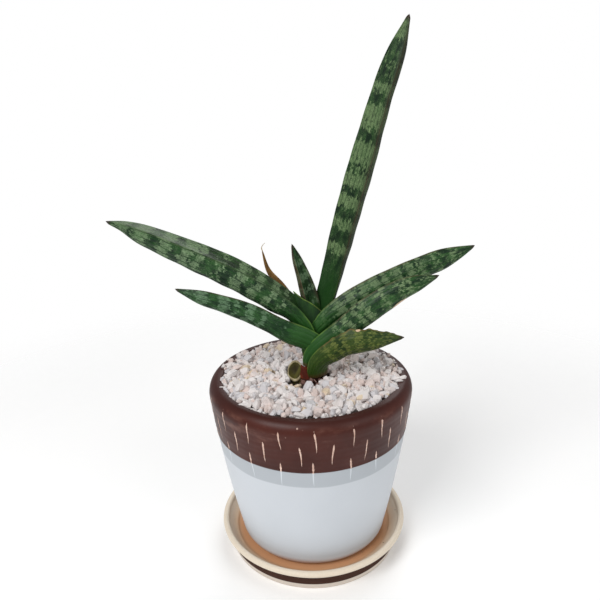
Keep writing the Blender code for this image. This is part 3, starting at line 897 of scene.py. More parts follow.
@dataclass
class Pot:
    """Turned pot with a swelling wall, a round shoulder and scratched dashes."""

    bottom: float = 8.3
    height: float = 111.0
    rim_radius: float = 59.85
    shoulder_drop: float = 7.0
    shoulder_width: float = 5.2
    base_radius: float = 45.5
    base_round: float = 6.0
    bow: float = 0.34
    wall: float = 5.2
    crest_width: float = 3.0
    floor: float = 6.5
    drain_radius: float = 6.0
    brown_edge: float = 81.0
    grey_edge: float = 71.0
    glaze_step: float = 0.22
    columns: int = 240
    dash_count: int = 20
    dash_rows: tuple[tuple[float, float], ...] = ((106.8, 94.0), (98.2, 84.6), (87.6, 71.8))
    dash_width: float = 1.1
    dash_proud: float = 0.07
    dash_depth: float = 0.35
    glaze: PotGlaze = PotGlaze()
    marks: ClayMarks = ClayMarks()

    def outer_radius(self, height: np.ndarray) -> np.ndarray:
        """Radius outside: base to rim, by part plus bow times part times its rest.

        Above the widest place the shoulder's ellipse takes over.
        """
        top = self.height - self.shoulder_drop
        low = self.bottom + self.base_round
        part = (height - low) / (top - low)
        part = part + self.bow * part * (1.0 - part)
        wall = self.base_radius + (self.rim_radius - self.base_radius) * part
        over = np.clip((height - top) / self.shoulder_drop, 0.0, 1.0)
        return wall * (over <= 0.0) + (over > 0.0) * (
            self.rim_radius - self.shoulder_width * (1.0 - np.sqrt(1.0 - over ** 2)))

    def glazed_radius(self, height: np.ndarray) -> np.ndarray:
        """Outer radius less the glaze's step where the brown coat ends."""
        bare = 1.0 - smoothstep(height, self.brown_edge - 0.25, self.brown_edge + 0.25)
        rings = 0.05 * np.sin(height * 1.9) + 0.04 * np.sin(height * 0.83 + 1.0)
        return self.outer_radius(height) - self.glaze_step * bare + rings * (bare - 1.0)

    def profile(self) -> np.ndarray:
        """Closed outline from the drain hole out, up, over the rim and back in."""
        top = self.height - self.shoulder_drop
        round_z = self.bottom + self.base_round
        under = np.array([(self.drain_radius, self.bottom), (22.0, self.bottom)])
        foot = arc((self.base_radius - self.base_round - self.glaze_step, round_z),
                   self.base_round, self.base_round, -90, -6, 9)
        heights = np.concatenate((np.linspace(round_z + 0.6, self.brown_edge - 1.2, 44),
                                  np.linspace(self.brown_edge - 0.5, self.brown_edge + 0.5, 7),
                                  np.linspace(self.brown_edge + 1.2, top - 0.6, 22)))
        wall = np.stack((self.glazed_radius(heights), heights), 1)
        shoulder = arc((self.rim_radius - self.shoulder_width, top), self.shoulder_width,
                       self.shoulder_drop, 2, 88, 16)
        inner = self.rim_radius - self.shoulder_width - self.crest_width
        crest = arc((inner + 1.4, self.height - 1.6), 1.4, 1.6, 92, 178, 7)
        floor = self.bottom + self.floor
        depths = np.linspace(97.0, floor + 5.0, 10)
        inside = np.stack((np.minimum(self.outer_radius(depths) - self.wall, inner), depths), 1)
        low = self.outer_radius(np.array([floor + 5.0]))[0] - self.wall - 4.5
        bowl = np.array([(low, floor), (self.drain_radius, floor)])
        return np.vstack((under, foot, wall, shoulder, crest, inside, bowl))

    def dashes(self) -> Skin:
        """Scratches in staggered rows, as slender lens-shaped inlays.

        Each dash is a grid of its share along and across. Its half width is the
        dash's own, full near the top and drawn out to a point at the foot, and
        it stands proud by a dome across it.

        Returns:
            All the dashes in one skin.
        """
        rng = np.random.default_rng(7)
        rows = len(self.dash_rows)
        total = rows * self.dash_count
        each = (total, 1, 1)
        level = np.repeat(np.arange(rows), self.dash_count).reshape(each)
        index = np.tile(np.arange(self.dash_count), rows).reshape(each)
        middle = 2 * np.pi * (index + 0.55 * (level % 2)) / self.dash_count
        middle = middle + rng.uniform(-0.03, 0.03, each) + 0.015
        spans = np.array(self.dash_rows)[level]
        top = spans[..., 0] + rng.uniform(-1.0, 1.0, each)
        foot = spans[..., 1] + rng.uniform(-1.2, 1.2, each)
        tilt = rng.normal(0.008, 0.012, each)
        part = np.linspace(0.0, 1.0, 13)[None, :, None]
        across = np.linspace(-1.0, 1.0, 5)[None, None, :]
        height = top + (foot - top) * part
        shape = np.sqrt(np.clip(part / 0.16, 0, 1)) * np.clip((1 - part) / 0.75, 0, 1) ** 0.6
        width = self.dash_width * rng.uniform(0.8, 1.15, each) / 2
        sway = 0.18 * np.sin(part * 5.0 + rng.uniform(0, 6, each))
        offset = width * shape * across + sway
        radius = self.glazed_radius(height) + self.dash_proud * (1.0 - across ** 2) - 0.02
        turn = middle + tilt * (part - 0.5) + offset / self.rim_radius
        grid = np.stack((radius * np.cos(turn), radius * np.sin(turn),
                         height + 0.0 * across), -1)
        back = grid.copy()
        back[..., :2] *= 1.0 - self.dash_depth / self.rim_radius
        ring = np.concatenate((grid, back[:, :, ::-1]), axis=2)
        points = ring.reshape(-1, 3)
        long, wide = ring.shape[1:3]
        base = np.arange(total)[:, None] * long * wide
        row = base[..., None] + np.arange(long - 1)[:, None] * wide
        first = base + np.arange(wide)[::-1]
        last = base + (long - 1) * wide + np.arange(wide)
        quads = cells(row, row + wide, wide).reshape(-1, 4)
        skin = Skin(points, [quads, np.vstack((first, last))])
        skin.turn_outwards()
        return skin

    def build(self) -> list[bpy.types.Object]:
        """Turn the pot, let its rim dip a little, lay in its dashes and dress both."""
        profile = self.profile()
        grid = turned_grid(profile, self.columns)
        lift = smoothstep(profile[:, 1], 100.0, self.height)[:, None]
        grid[..., 2] -= 0.1 * lift * (1.0 + np.sin(3 * full_turn(self.columns) + 1.1))
        pot = grid_skin(grid, loop_rows=True).to_object("pot_body")
        dress(pot, self.glaze.material(self), "pot_glaze", "pot")
        dashes = self.dashes().to_object("pot_dashes")
        dress(dashes, self.marks.material(self), "pot_glaze")
        return [pot, dashes]


# ---------------------------------------------------------------- fill

@dataclass(frozen=True)
class DullFinish:
    """Soil or dried leaf: cloudy between two paints, with a fine grain.

    Attributes:
        name: The material's name.
        light: The main paint.
        deep: The paint of the clouds.
        cover: How far the clouds cover the main paint.
        size: Clouds to a metre.
        grain: Grains to a metre.
        drawn_out: Factor on the height, under one for upright streaks.
        rough: Least and greatest roughness.
        lift: Millimetres of relief.
        shine: Specular level.
    """

    name: str
    light: Colour
    deep: Colour
    cover: float = 1.0
    size: float = 240.0
    grain: float = 1600.0
    drawn_out: float = 0.35
    rough: tuple[float, float] = (0.6, 0.9)
    lift: float = 0.15
    shine: float = 0.25

    def material(self) -> bpy.types.Material:
        """Build the material."""
        tree = Coat(self.name)
        place = tree.scaled(tree.place(), (1.0, 1.0, self.drawn_out))
        clouded, grain = tree.cloud(place, self.light, self.deep, self.size, self.grain)
        return tree.finish(tree.mix(self.cover, self.light, clouded),
                           tree.between(grain, *self.rough), grain, lift=self.lift,
                           shine=self.shine)


@dataclass(frozen=True)
class StoneFinish:
    """Crushed marble: milky white, with rosy, grey and a few yellow grains."""

    white: Colour = paint(224, 218, 216)
    rosy: Colour = paint(216, 198, 191)
    grey: Colour = paint(206, 203, 205)
    yellow: Colour = paint(214, 193, 160)

    def material(self) -> bpy.types.Material:
        """Build the stone, tinted by each stone's own marks."""
        tree = Coat("crushed_marble")
        place = tree.place()
        tint, warm = (tree.node("ShaderNodeAttribute", attribute_name=mark).outputs["Fac"]
                      for mark in ("tint", "warm"))
        vein = tree.noise(place, 380.0, 4.0, 0.6)
        colour = tree.mix(tree.smooth(tint, 0.3, 0.75), self.white, self.rosy)
        colour = tree.mix(tree.smooth(tint, 0.78, 0.84), colour, self.grey)
        area = tree.smooth(tree.noise(place, 42.0), 0.5, 0.72)
        sunny = tree.smooth(tree.raised(warm, area, 0.45), 0.97, 1.0)
        colour = tree.mix(tree.times(sunny, 0.8), colour, self.yellow)
        colour = tree.mix(tree.times(tree.smooth(vein, 0.45, 0.75), 0.3), colour, self.grey)
        return tree.finish(colour, tree.between(vein, 0.45, 0.8), vein, lift=0.15,
                           strength=0.6)


def chips(centres: np.ndarray, sizes: np.ndarray, rng: np.random.Generator,
          flatness: float = 0.6) -> Skin:
    """Angular chips, all made at once.

    Each chip is the 26-point shell of a 3 by 3 by 3 block with its corners drawn
    in almost to a sphere, pressed flat against eight random planes, stretched
    along its three axes and turned at random by a unit quaternion: the point,
    plus the quaternion's first part times the sweep, plus its axis crossed with
    the sweep, which is twice the axis crossed with the point.

    Args:
        centres: Middle of each chip, in millimetres.
        sizes: Half length of each chip.
        rng: Source of the random draws.
        flatness: Thickness of the flattest chips, as a share of their length.

    Returns:
        One skin of all chips, each with its own tint and warm marks.
    """
    # A chip's points and planes, how far its corners are drawn in, and the factor
    # that makes up for what the planes take off.
    points, planes, drawn_in, made_up = 26, 8, 0.88, 1.25
    steps = np.array([-1.0, 0.0, 1.0])
    block = np.stack(np.meshgrid(steps, steps, steps, indexing="ij"), -1).reshape(-1, 3)
    number = np.full((3, 3, 3), -1)
    shell = np.abs(block).max(axis=1) > 0.5
    number[shell.reshape(3, 3, 3)] = np.arange(points)
    quads = []
    for axis in range(3):
        for side in (0, 2):
            face = number.transpose(axis, (axis + 1) % 3, (axis + 2) % 3)[side]
            ring = np.stack((face[:-1, :-1], face[1:, :-1], face[1:, 1:], face[:-1, 1:]), -1)
            quads.append(ring.reshape(-1, 4)[:, ::side - 1])
    ball = block[shell] / np.linalg.norm(block[shell], axis=1)[:, None] ** drawn_in
    count = len(centres)
    shape = np.broadcast_to(ball, (count, points, 3)).copy()
    for _ in range(planes):
        normal = unit(rng.normal(size=(count, 3)))
        limit = rng.uniform(0.45, 0.8, count)
        over = np.einsum("nij,nj->ni", shape, normal) - limit[:, None]
        shape -= np.maximum(over, 0.0)[..., None] * normal[:, None, :]
    stretch = np.stack((np.ones(count), rng.uniform(0.62, 0.95, count),
                        rng.uniform(flatness * 0.75, flatness * 1.25, count)), 1)
    shape *= (stretch * sizes[:, None] * made_up)[:, None, :]
    turn = unit(rng.normal(size=(count, 4)))[:, None, :]
    sweep = 2.0 * np.cross(turn[..., 1:], shape)
    shape += turn[..., :1] * sweep + np.cross(turn[..., 1:], sweep) + centres[:, None, :]
    faces = np.vstack(quads)[None] + (np.arange(count) * points)[:, None, None]
    marks = {mark: np.repeat(rng.uniform(0.0, 1.0, count), points)
             for mark in ("tint", "warm")}
    skin = Skin(shape.reshape(-1, 3), [faces.reshape(-1, 4)], marks=marks)
    skin.turn_outwards()
    return skin


@dataclass
class Fill:
    """Soil, crushed stone on it, and crumbs of soil that lie bare round the stem."""

    mouth: float = 51.4
    edge: float = 54.9
    edge_top: float = 109.9
    middle_top: float = 108.6
    soil_top: float = 103.0
    hole: float = 13.6
    hole_middle: tuple[float, float] = (-2.2, -1.2)
    rim_gap: float = 0.4
    front_gap: float = 4.0
    bay_gap: float = 1.5
    pitch: float = 4.2
    size: float = 2.8
    stone: StoneFinish = StoneFinish()
    soil: DullFinish = DullFinish("potting_mix", paint(34, 27, 24), paint(74, 52, 40),
                                  cover=0.45, size=330.0, grain=800.0, drawn_out=1.0,
                                  rough=(0.7, 1.0), lift=0.5, shine=0.5)

    def bed_height(self, radius: np.ndarray) -> np.ndarray:
        """Top of the bed: middle height, plus the rise to the rim by radius squared."""
        part = np.minimum(radius / self.edge, 1.0)
        return self.middle_top + (self.edge_top - self.middle_top) * part ** 2

    def hexagons(self, pitch: float, spread: float, rng: np.random.Generator) -> np.ndarray:
        """Places over the pot's mouth, in a hexagonal pattern shaken by a spread."""
        count = int(self.edge / pitch) + 2
        column, row = np.meshgrid(np.arange(-count, count + 1), np.arange(-count, count + 1))
        rows_apart = 0.866 * pitch
        x = (column + 0.5 * (row % 2)) * pitch
        flat = np.stack((x.ravel(), (row * rows_apart).ravel()), 1)
        return flat + rng.uniform(-spread, spread, flat.shape)

    def stones(self) -> Skin:
        """Three loose layers of chips, with a few more on the bed's top.

        The gap at the rim is widest in front, with two small bays at the left and
        at the back right. The hole round the stem has a wavy edge.
        """
        rng = np.random.default_rng(19)
        places = []
        for drop, share in ((3.3, 1.0), (1.7, 1.0), (0.1, 0.95), (-1.3, 0.3)):
            flat = self.hexagons(self.pitch, 0.9, rng)
            keep = rng.uniform(0.0, 1.0, len(flat)) < share
            flat = flat[keep]
            height = self.bed_height(np.linalg.norm(flat, axis=1)) - drop
            height = height + rng.uniform(-0.5, 0.5, len(flat))
            room = np.linalg.norm(flat, axis=1) < self.edge - 1.6 * max(drop, 0.0)
            places.append(np.column_stack((flat, height))[room])
        places = np.vstack(places)
        radius = np.linalg.norm(places[:, :2], axis=1)
        turn = np.arctan2(places[:, 1], places[:, 0])
        gap = self.rim_gap + self.front_gap * smoothstep(-np.sin(turn), 0.3, 1.0)
        for way, narrow in ((3.3, 0.9), (0.95, 0.95)):
            gap += self.bay_gap * smoothstep(np.cos(turn - way), narrow, 1.0)
        inner = np.linalg.norm(places[:, :2] - np.array(self.hole_middle), axis=1)
        ragged = self.hole + 1.3 * np.sin(3 * turn + 0.5) + 0.7 * np.sin(7 * turn)
        keep = (radius < self.edge - gap) & (inner > ragged)
        places = places[keep]
        sizes = self.size * np.exp(rng.normal(-0.08, 0.27, len(places))).clip(0.5, 1.5)
        sizes *= 1.0 - 0.3 * smoothstep(radius[keep] + gap[keep], self.edge - 5.0, self.edge)
        return chips(places, sizes, rng)

    def crumbs(self) -> Skin:
        """Dark crumbs over the bare soil, inside the hole and under the rim."""
        rng = np.random.default_rng(5)
        flat = self.hexagons(1.9, 0.8, rng)
        radius = np.linalg.norm(flat, axis=1)
        keep = (radius < self.hole + 2.0) | (radius > self.mouth - 4.0)
        keep &= radius < self.mouth - 0.9
        flat = flat[keep]
        radius = radius[keep]
        lift = 2.4 * smoothstep(radius, 5.0, 13.0)
        lift = lift + 3.0 * smoothstep(radius, self.mouth - 6.0, self.mouth)
        height = self.soil_top + lift + rng.uniform(-0.2, 1.1, len(flat))
        places = np.column_stack((flat, height))
        return chips(places, rng.uniform(0.7, 1.7, len(flat)), rng, flatness=0.7)

    def build(self) -> list[bpy.types.Object]:
        """Build the crushed stone and the crumbs, and paint the soil's solid."""
        soil = self.soil.material()
        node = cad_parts["potting_soil"]
        node.data.materials.clear()
        node.data.materials.append(soil)
        stones = self.stones().to_object("crushed_stone", Shading.FACETED)
        dress(stones, self.stone.material(), "gravel", "gravel")
        crumbs = self.crumbs().to_object("soil_crumbs", Shading.FACETED)
        dress(crumbs, soil, "soil")
        return [stones, crumbs]


# ---------------------------------------------------------------- plant

@dataclass(frozen=True)
class Scar:
    """Dry spot: its middle along and round a leaf, half length and half width."""

    along: float
    around: float
    length: float
    width: float


@dataclass(frozen=True)
class LeafFinish:
    """Paints of a banded leaf and how its bands break up."""

    pale: Colour = paint(128, 152, 108)
    fresh: Colour = paint(36, 78, 32)
    dark: Colour = paint(12, 40, 20)
    tan: Colour = paint(92, 92, 68)
    base: Colour = paint(38, 84, 24)
    edge: Colour = paint(84, 60, 44)
    scar: Colour = paint(206, 178, 146)
    strips: float = 17.0
    shift: float = 2.8
    flecks: float = 0.55
    sheath: float = 34.0
    tan_share: float = 0.12
    # Share of tan over the belly side: painted shade, and on the young leaf also its brown strip.
    belly_tan_and_shade: float = 0.0

    def scarred(self, tree: Tree, colour: Socket, along: Socket, around: Socket,
                scar: Scar) -> Socket:
        """Lay a dry spot over a colour: beige inside, dark along its ragged edge.

        The spot reaches as far as the root of the squared shares of its half
        length and half width, roughened by noise, stays below one.

        Args:
            tree: The material's tree.
            colour: The colour below.
            along: Distance along the leaf in millimetres.
            around: Way round the leaf, 0 to 1.
            scar: Where the spot lies and how large it is.

        Returns:
            The colour with the spot.
        """
        far = tree.math("DIVIDE", tree.less(along, scar.along), scar.length)
        side = tree.math("DIVIDE", tree.less(around, scar.around), scar.width)
        rough = tree.noise(tree.join(along, tree.times(around, 40.0)), 0.7, 3.0)
        reach = tree.raised(tree.distance(far, side), tree.less(rough, 0.5), 0.9)
        colour = tree.mix(tree.times(tree.fall(reach, 0.95, 1.25), 0.8), colour, self.dark)
        return tree.mix(tree.fall(reach, 0.75, 0.95), colour, self.scar)

    def material(self, name: str, length: float, bands: tuple[tuple[float, float], ...],
                 seed: float, scars: tuple[Scar, ...] = ()) -> bpy.types.Material:
        """Build the leaf's skin.

        Args:
            name: The material's name.
            length: The leaf's length in millimetres.
            bands: Distance from the base and level, 0 dark to 1 pale.
            seed: Number that sets this leaf's own random pattern.
            scars: Dry spots on the leaf.

        Returns:
            The material.
        """
        tree = Coat(name)
        pattern = tree.node("ShaderNodeUVMap", uv_map="pattern").outputs["UV"]
        along, around, _ = tree.split(pattern)
        cells = tree.group(fibres(), Along=along, Around=around, Strips=self.strips,
                           Shift=self.shift, Seed=seed).outputs
        level = tree.ramp(tree.math("DIVIDE", cells["Shifted"], length),
                          tuple((place / length, value) for place, value in bands))
        upper = tree.fall(around, 0.49, 0.51)
        front = tree.times(upper, tree.smooth(around, 0.02, 0.17))
        # Tan laid over the belly side: painted shade there, and on the young leaf also its brown
        # strip.
        back = tree.times(tree.rest(front), self.belly_tan_and_shade)
        skin = tree.group(leaf_colours(), Along=along, Around=around, Length=length,
                          Level=level, Line=cells["Line"], Streak=cells["Streak"],
                          Block=cells["Block"], Seed=seed, Pale=self.pale, Fresh=self.fresh,
                          Dark=self.dark, Tan=self.tan, Base=self.base, Edge=self.edge,
                          Sheath=self.sheath, Flecks=self.flecks,
                          Upper=tree.raised(back, upper, self.tan_share)).outputs
        colour = skin["Colour"]
        for scar in scars:
            colour = self.scarred(tree, colour, along, around, scar)
        return tree.finish(colour, skin["Rough"], skin["Height"], lift=0.12,
                           strength=0.6, shine=0.22)


@dataclass
class Leaf:
    """One thick leaf: round below, channelled above, drawn out to a point.

    Attributes:
        node: The solid that the leaf stands for.
        line: Points midway between the margins, from base to tip.
        widths: Full widths at even distances from base to tip.
        face: The way the channelled upper face looks.
        depth: Depth of the round belly, as a share of half the width.
        channel: Depth of the channel, as a share of the belly's depth.
        bands: Distance from the base and level of each band, 0 dark to 1 pale.
        finish: The leaf's paints.
        seed: Number of the leaf's random pattern.
        scars: Dry spots on its skin.
        wave: Height of the ripples along the margins.
        slot: The record's finish slot.
        rows: Rings of points along the leaf.
        columns: Points round it.
        base_depth: Share of its depth that the belly has at the base.
        tip_length: Millimetres over which the end rounds off to its point.
        crown: Swelling of the upper face, as a share of half the width.
        furrow: Depth of the belly's furrows in millimetres, halved.
        furrows: Furrows on each side.
    """

    node: str
    line: tuple[Point, ...]
    widths: tuple[float, ...]
    face: Point
    depth: float
    channel: float
    bands: tuple[tuple[float, float], ...]
    finish: LeafFinish = LeafFinish()
    seed: float = 1.0
    scars: tuple[Scar, ...] = ()
    wave: float = 0.0
    slot: str = "leaf_green"
    rows: int = 150
    columns: int = 112
    base_depth: float = 0.6
    tip_length: float = 1.6
    crown: float = 0.22
    furrow: float = 0.22
    furrows: int = 9

    def surface(self) -> tuple[np.ndarray, np.ndarray, float]:
        """Carry the leaf's section along its line.

        The section is, across, the half width times cos turn and, up, the belly
        times sin turn below and the crown times sin turn less the channel times
        sin turn squared above. Soft furrows run along the belly, two slow waves
        ripple the margins, and the last stretch shrinks to a point. The rows
        crowd towards the tip.

        Returns:
            The grid of points, each row's distance along, and the whole length.
        """
        parts = np.linspace(0.0, 1.0, self.rows)
        parts = parts + 0.06 * np.sin(np.pi * parts) * parts
        places, _, across, up, length = frames(self.line, parts, self.face)
        sizes = np.array(self.widths, dtype=float) / 2
        half = np.maximum(spline(sizes, parts), sizes[-1])
        half = half * (1.0 + 0.012 * np.sin(parts * length * 0.35 + self.seed))
        half = half * np.sqrt(np.clip((1.0 - parts) * length / self.tip_length, 0.0, 1.0) + 1e-4)
        belly = self.depth * np.minimum(1.0, self.base_depth
                                        + (1.0 - self.base_depth) * parts / 0.3)
        groove = self.channel * belly * (1.0 - parts) ** 0.8
        turn = full_turn(self.columns)
        sine = np.sin(turn)[None, :]
        ridges = 0.5 + 0.5 * np.cos(turn * self.furrows * 2.0)
        soft = 1.0 - self.furrow * 2.0 * ridges[None, :] ** 6 / np.maximum(
            half[:, None], 2.0) * np.abs(sine) ** 0.5
        wide = half[:, None] * np.cos(turn)[None, :] * soft
        below = belly[:, None] * half[:, None] * sine * soft
        above = self.crown * half[:, None] * sine - groove[:, None] * half[:, None] * sine ** 2
        rise = np.where(sine < 0.0, below, above)
        ripple = np.sin(parts * length * 0.62 + self.seed * 2.0) + 0.6 * np.sin(
            parts * length * 1.37 + self.seed)
        ripple = ripple * smoothstep(parts, 0.25, 0.5) * smoothstep(1.0 - parts, 0.0, 0.1)
        rim = np.exp(-((np.abs(np.cos(turn)) - 1.0) / 0.08) ** 2)
        rise = rise + self.wave * ripple[:, None] * rim[None, :]
        return carried(places, across, up, wide, rise), parts * length, length

    def build(self) -> bpy.types.Object:
        """Build and dress the leaf."""
        grid, along, length = self.surface()
        item = capped_skin(grid, along).to_object(self.node + "_skin")
        material = self.finish.material(self.node + "_finish", length, self.bands,
                                        self.seed, self.scars)
        return dress(item, material, self.slot, self.node)


def tube(line: tuple[Point, ...], halves: tuple[float, ...], rows: int, columns: int) -> Skin:
    """Closed round tube along a smooth line.

    Each row is the centre, plus half cos turn across, plus half sin turn up.

    Args:
        line: Points of the middle, in millimetres.
        halves: Half widths at even distances.
        rows: Rings along the tube.
        columns: Points round it.

    Returns:
        The tube's skin.
    """
    parts = np.linspace(0.0, 1.0, rows)
    places, _, across, up, length = frames(line, parts, TO_VIEWER)
    turn = full_turn(columns)
    half = spline(np.array(halves, dtype=float), parts)[:, None]
    grid = carried(places, across, up, half * np.cos(turn), half * np.sin(turn))
    return capped_skin(grid, parts * length)


@dataclass
class Stem:
    """Short stem in the soil with a cut-back stump, a dried sheath and dry bits."""

    stump_line: tuple[Point, ...] = ((0, 0.5, 102.5), (-6, 0, 105.5), (-8.6, -0.4, 109.5),
                                     (-8.9, -0.4, 113))
    stump_half: float = 4.3
    stump_depth: float = 0.8
    core_radius: float = 5.9
    core_foot: float = 92.0
    core_top: float = 112.6
    dome: float = 4.0
    sheath_size: tuple[int, int] = (22, 20)
    bit_count: int = 34
    columns: int = 64

    def stump(self) -> tuple[Skin, Skin]:
        """Stump of a cut leaf, hollowed at the cut, and the pale rim round its cut.

        The cut leans towards the viewer. Inside it, four rings shrink and sink
        to the hollow's middle. The rim is a ring of six rows round the cut.
        """
        parts = np.linspace(0.0, 1.0, 40)
        places, along, across, up, length = frames(self.stump_line, parts, TO_VIEWER)
        turn = full_turn(self.columns)
        half = self.stump_half * (0.86 + 0.14 * parts[:, None])
        half = half * (1.0 + 0.03 * np.sin(5 * turn) * parts[:, None])
        grid = carried(places, across, up, half * np.cos(turn),
                       self.stump_depth * half * np.sin(turn))
        lean = 1.6 * np.cos(turn) - 3.6 * np.sin(turn) + 0.35 * np.sin(3 * turn)
        grid += (smoothstep(parts, 0.3, 1.0)[:, None] * lean)[..., None] * along[:, None, :]
        cut, middle, way = grid[-1], places[-1], along[-1]
        share = np.array([0.9, 0.72, 0.45, 0.2])[:, None, None]
        drop = np.array([0.25, 1.1, 1.9, 2.2])[:, None, None]
        wall = np.concatenate((grid, middle + (cut - middle) * share - way * drop))
        body = capped_skin(wall, np.linspace(0.0, length, len(wall)))
        ring = np.stack([cut + thick * (cut - middle) / self.stump_half + rise * way
                         for thick, rise in ((0.3, -1.6), (0.42, -0.4), (0.3, 0.35),
                                             (0.0, 0.3), (-0.3, -0.1), (-0.2, -0.9))])
        return body, grid_skin(ring, loop_rows=True)

    def core(self) -> Skin:
        """Domed stem core with the rings of old leaf scars."""
        shoulder = self.core_top - self.dome
        height = np.linspace(self.core_foot, shoulder, 34)
        radius = self.core_radius * smoothstep(height, self.core_foot - 4.0,
                                               self.core_foot + 5.0)
        radius = radius + 0.16 * np.sin(height * 2.6)
        dome = arc((0.0, shoulder), self.core_radius, self.dome, 8, 84, 10)
        grid = turned_grid(np.vstack((np.stack((radius, height), 1), dome)), self.columns)
        return grid_skin(grid, start=np.array([0.0, 0.0, self.core_foot]),
                         end=np.array([0.0, 0.0, self.core_top]))

    def sheath(self) -> Skin:
        """Curled scale of dried leaf, a thin bent sheet closed round its edges."""
        rows, columns = self.sheath_size
        rise, bend = np.meshgrid(np.linspace(0.0, 1.0, rows), np.linspace(-1.0, 1.0, columns),
                                 indexing="ij")
        width = 3.3 * (1.0 - 0.45 * rise ** 2) + 0.25 * np.sin(rise * 9.0)
        turn = np.radians(-112.0) + bend * width / 5.4
        radius = 5.9 + 0.9 * rise + 0.3 * np.sin(bend * 4.0 + rise * 3.0)
        height = 109.0 + 8.4 * rise + 0.8 * np.sin(bend * 5.0) * rise
        outer, inner = (np.stack((reach * np.cos(turn) - 0.9, reach * np.sin(turn) + 0.6,
                                  height), -1) for reach in (radius, radius - 0.5))
        ring = np.concatenate((outer, inner[:, ::-1]), axis=1)
        return capped_skin(ring, np.linspace(0.0, 8.0, rows))

    def bits(self) -> Skin:
        """Dried scraps of old leaves that lie against the stem's foot."""
        rng = np.random.default_rng(31)
        count = self.bit_count
        turn = np.radians(rng.uniform(-150.0, -5.0, count))
        reach = rng.uniform(5.6, 8.6, count)
        places = np.stack((reach * np.cos(turn) + 0.8, reach * np.sin(turn),
                           rng.uniform(104.4, 110.4, count) - (reach - 5.6) * 0.7), 1)
        return chips(places, rng.uniform(0.9, 2.0, count), rng, flatness=0.34)

    def build(self) -> list[bpy.types.Object]:
        """Build the stump, its rim, the core, the sheath and the scraps."""
        body, rim = self.stump()
        olive = DullFinish("olive_stump", paint(98, 94, 36), paint(52, 46, 20))
        papery = DullFinish("papery_rim", paint(196, 184, 150), paint(140, 126, 92))
        bark = DullFinish("stem_bark", paint(92, 52, 36), paint(44, 26, 20))
        rust = DullFinish("rusty_sheath", paint(150, 66, 34), paint(84, 32, 20))
        scraps = DullFinish("dried_scraps", paint(176, 140, 130), paint(96, 66, 58))
        smooth, faceted = Shading.SMOOTH, Shading.FACETED
        return [dress(skin.to_object(name, shading), finish.material(), "stem", *nodes)
                for name, skin, shading, finish, nodes in (
                    ("stem_stump", body, smooth, olive, ("stem",)),
                    ("stem_rim", rim, smooth, papery, ()),
                    ("stem_core", self.core(), smooth, bark, ()),
                    ("stem_sheath", self.sheath(), smooth, rust, ()),
                    ("stem_scraps", self.bits(), faceted, scraps, ()))]


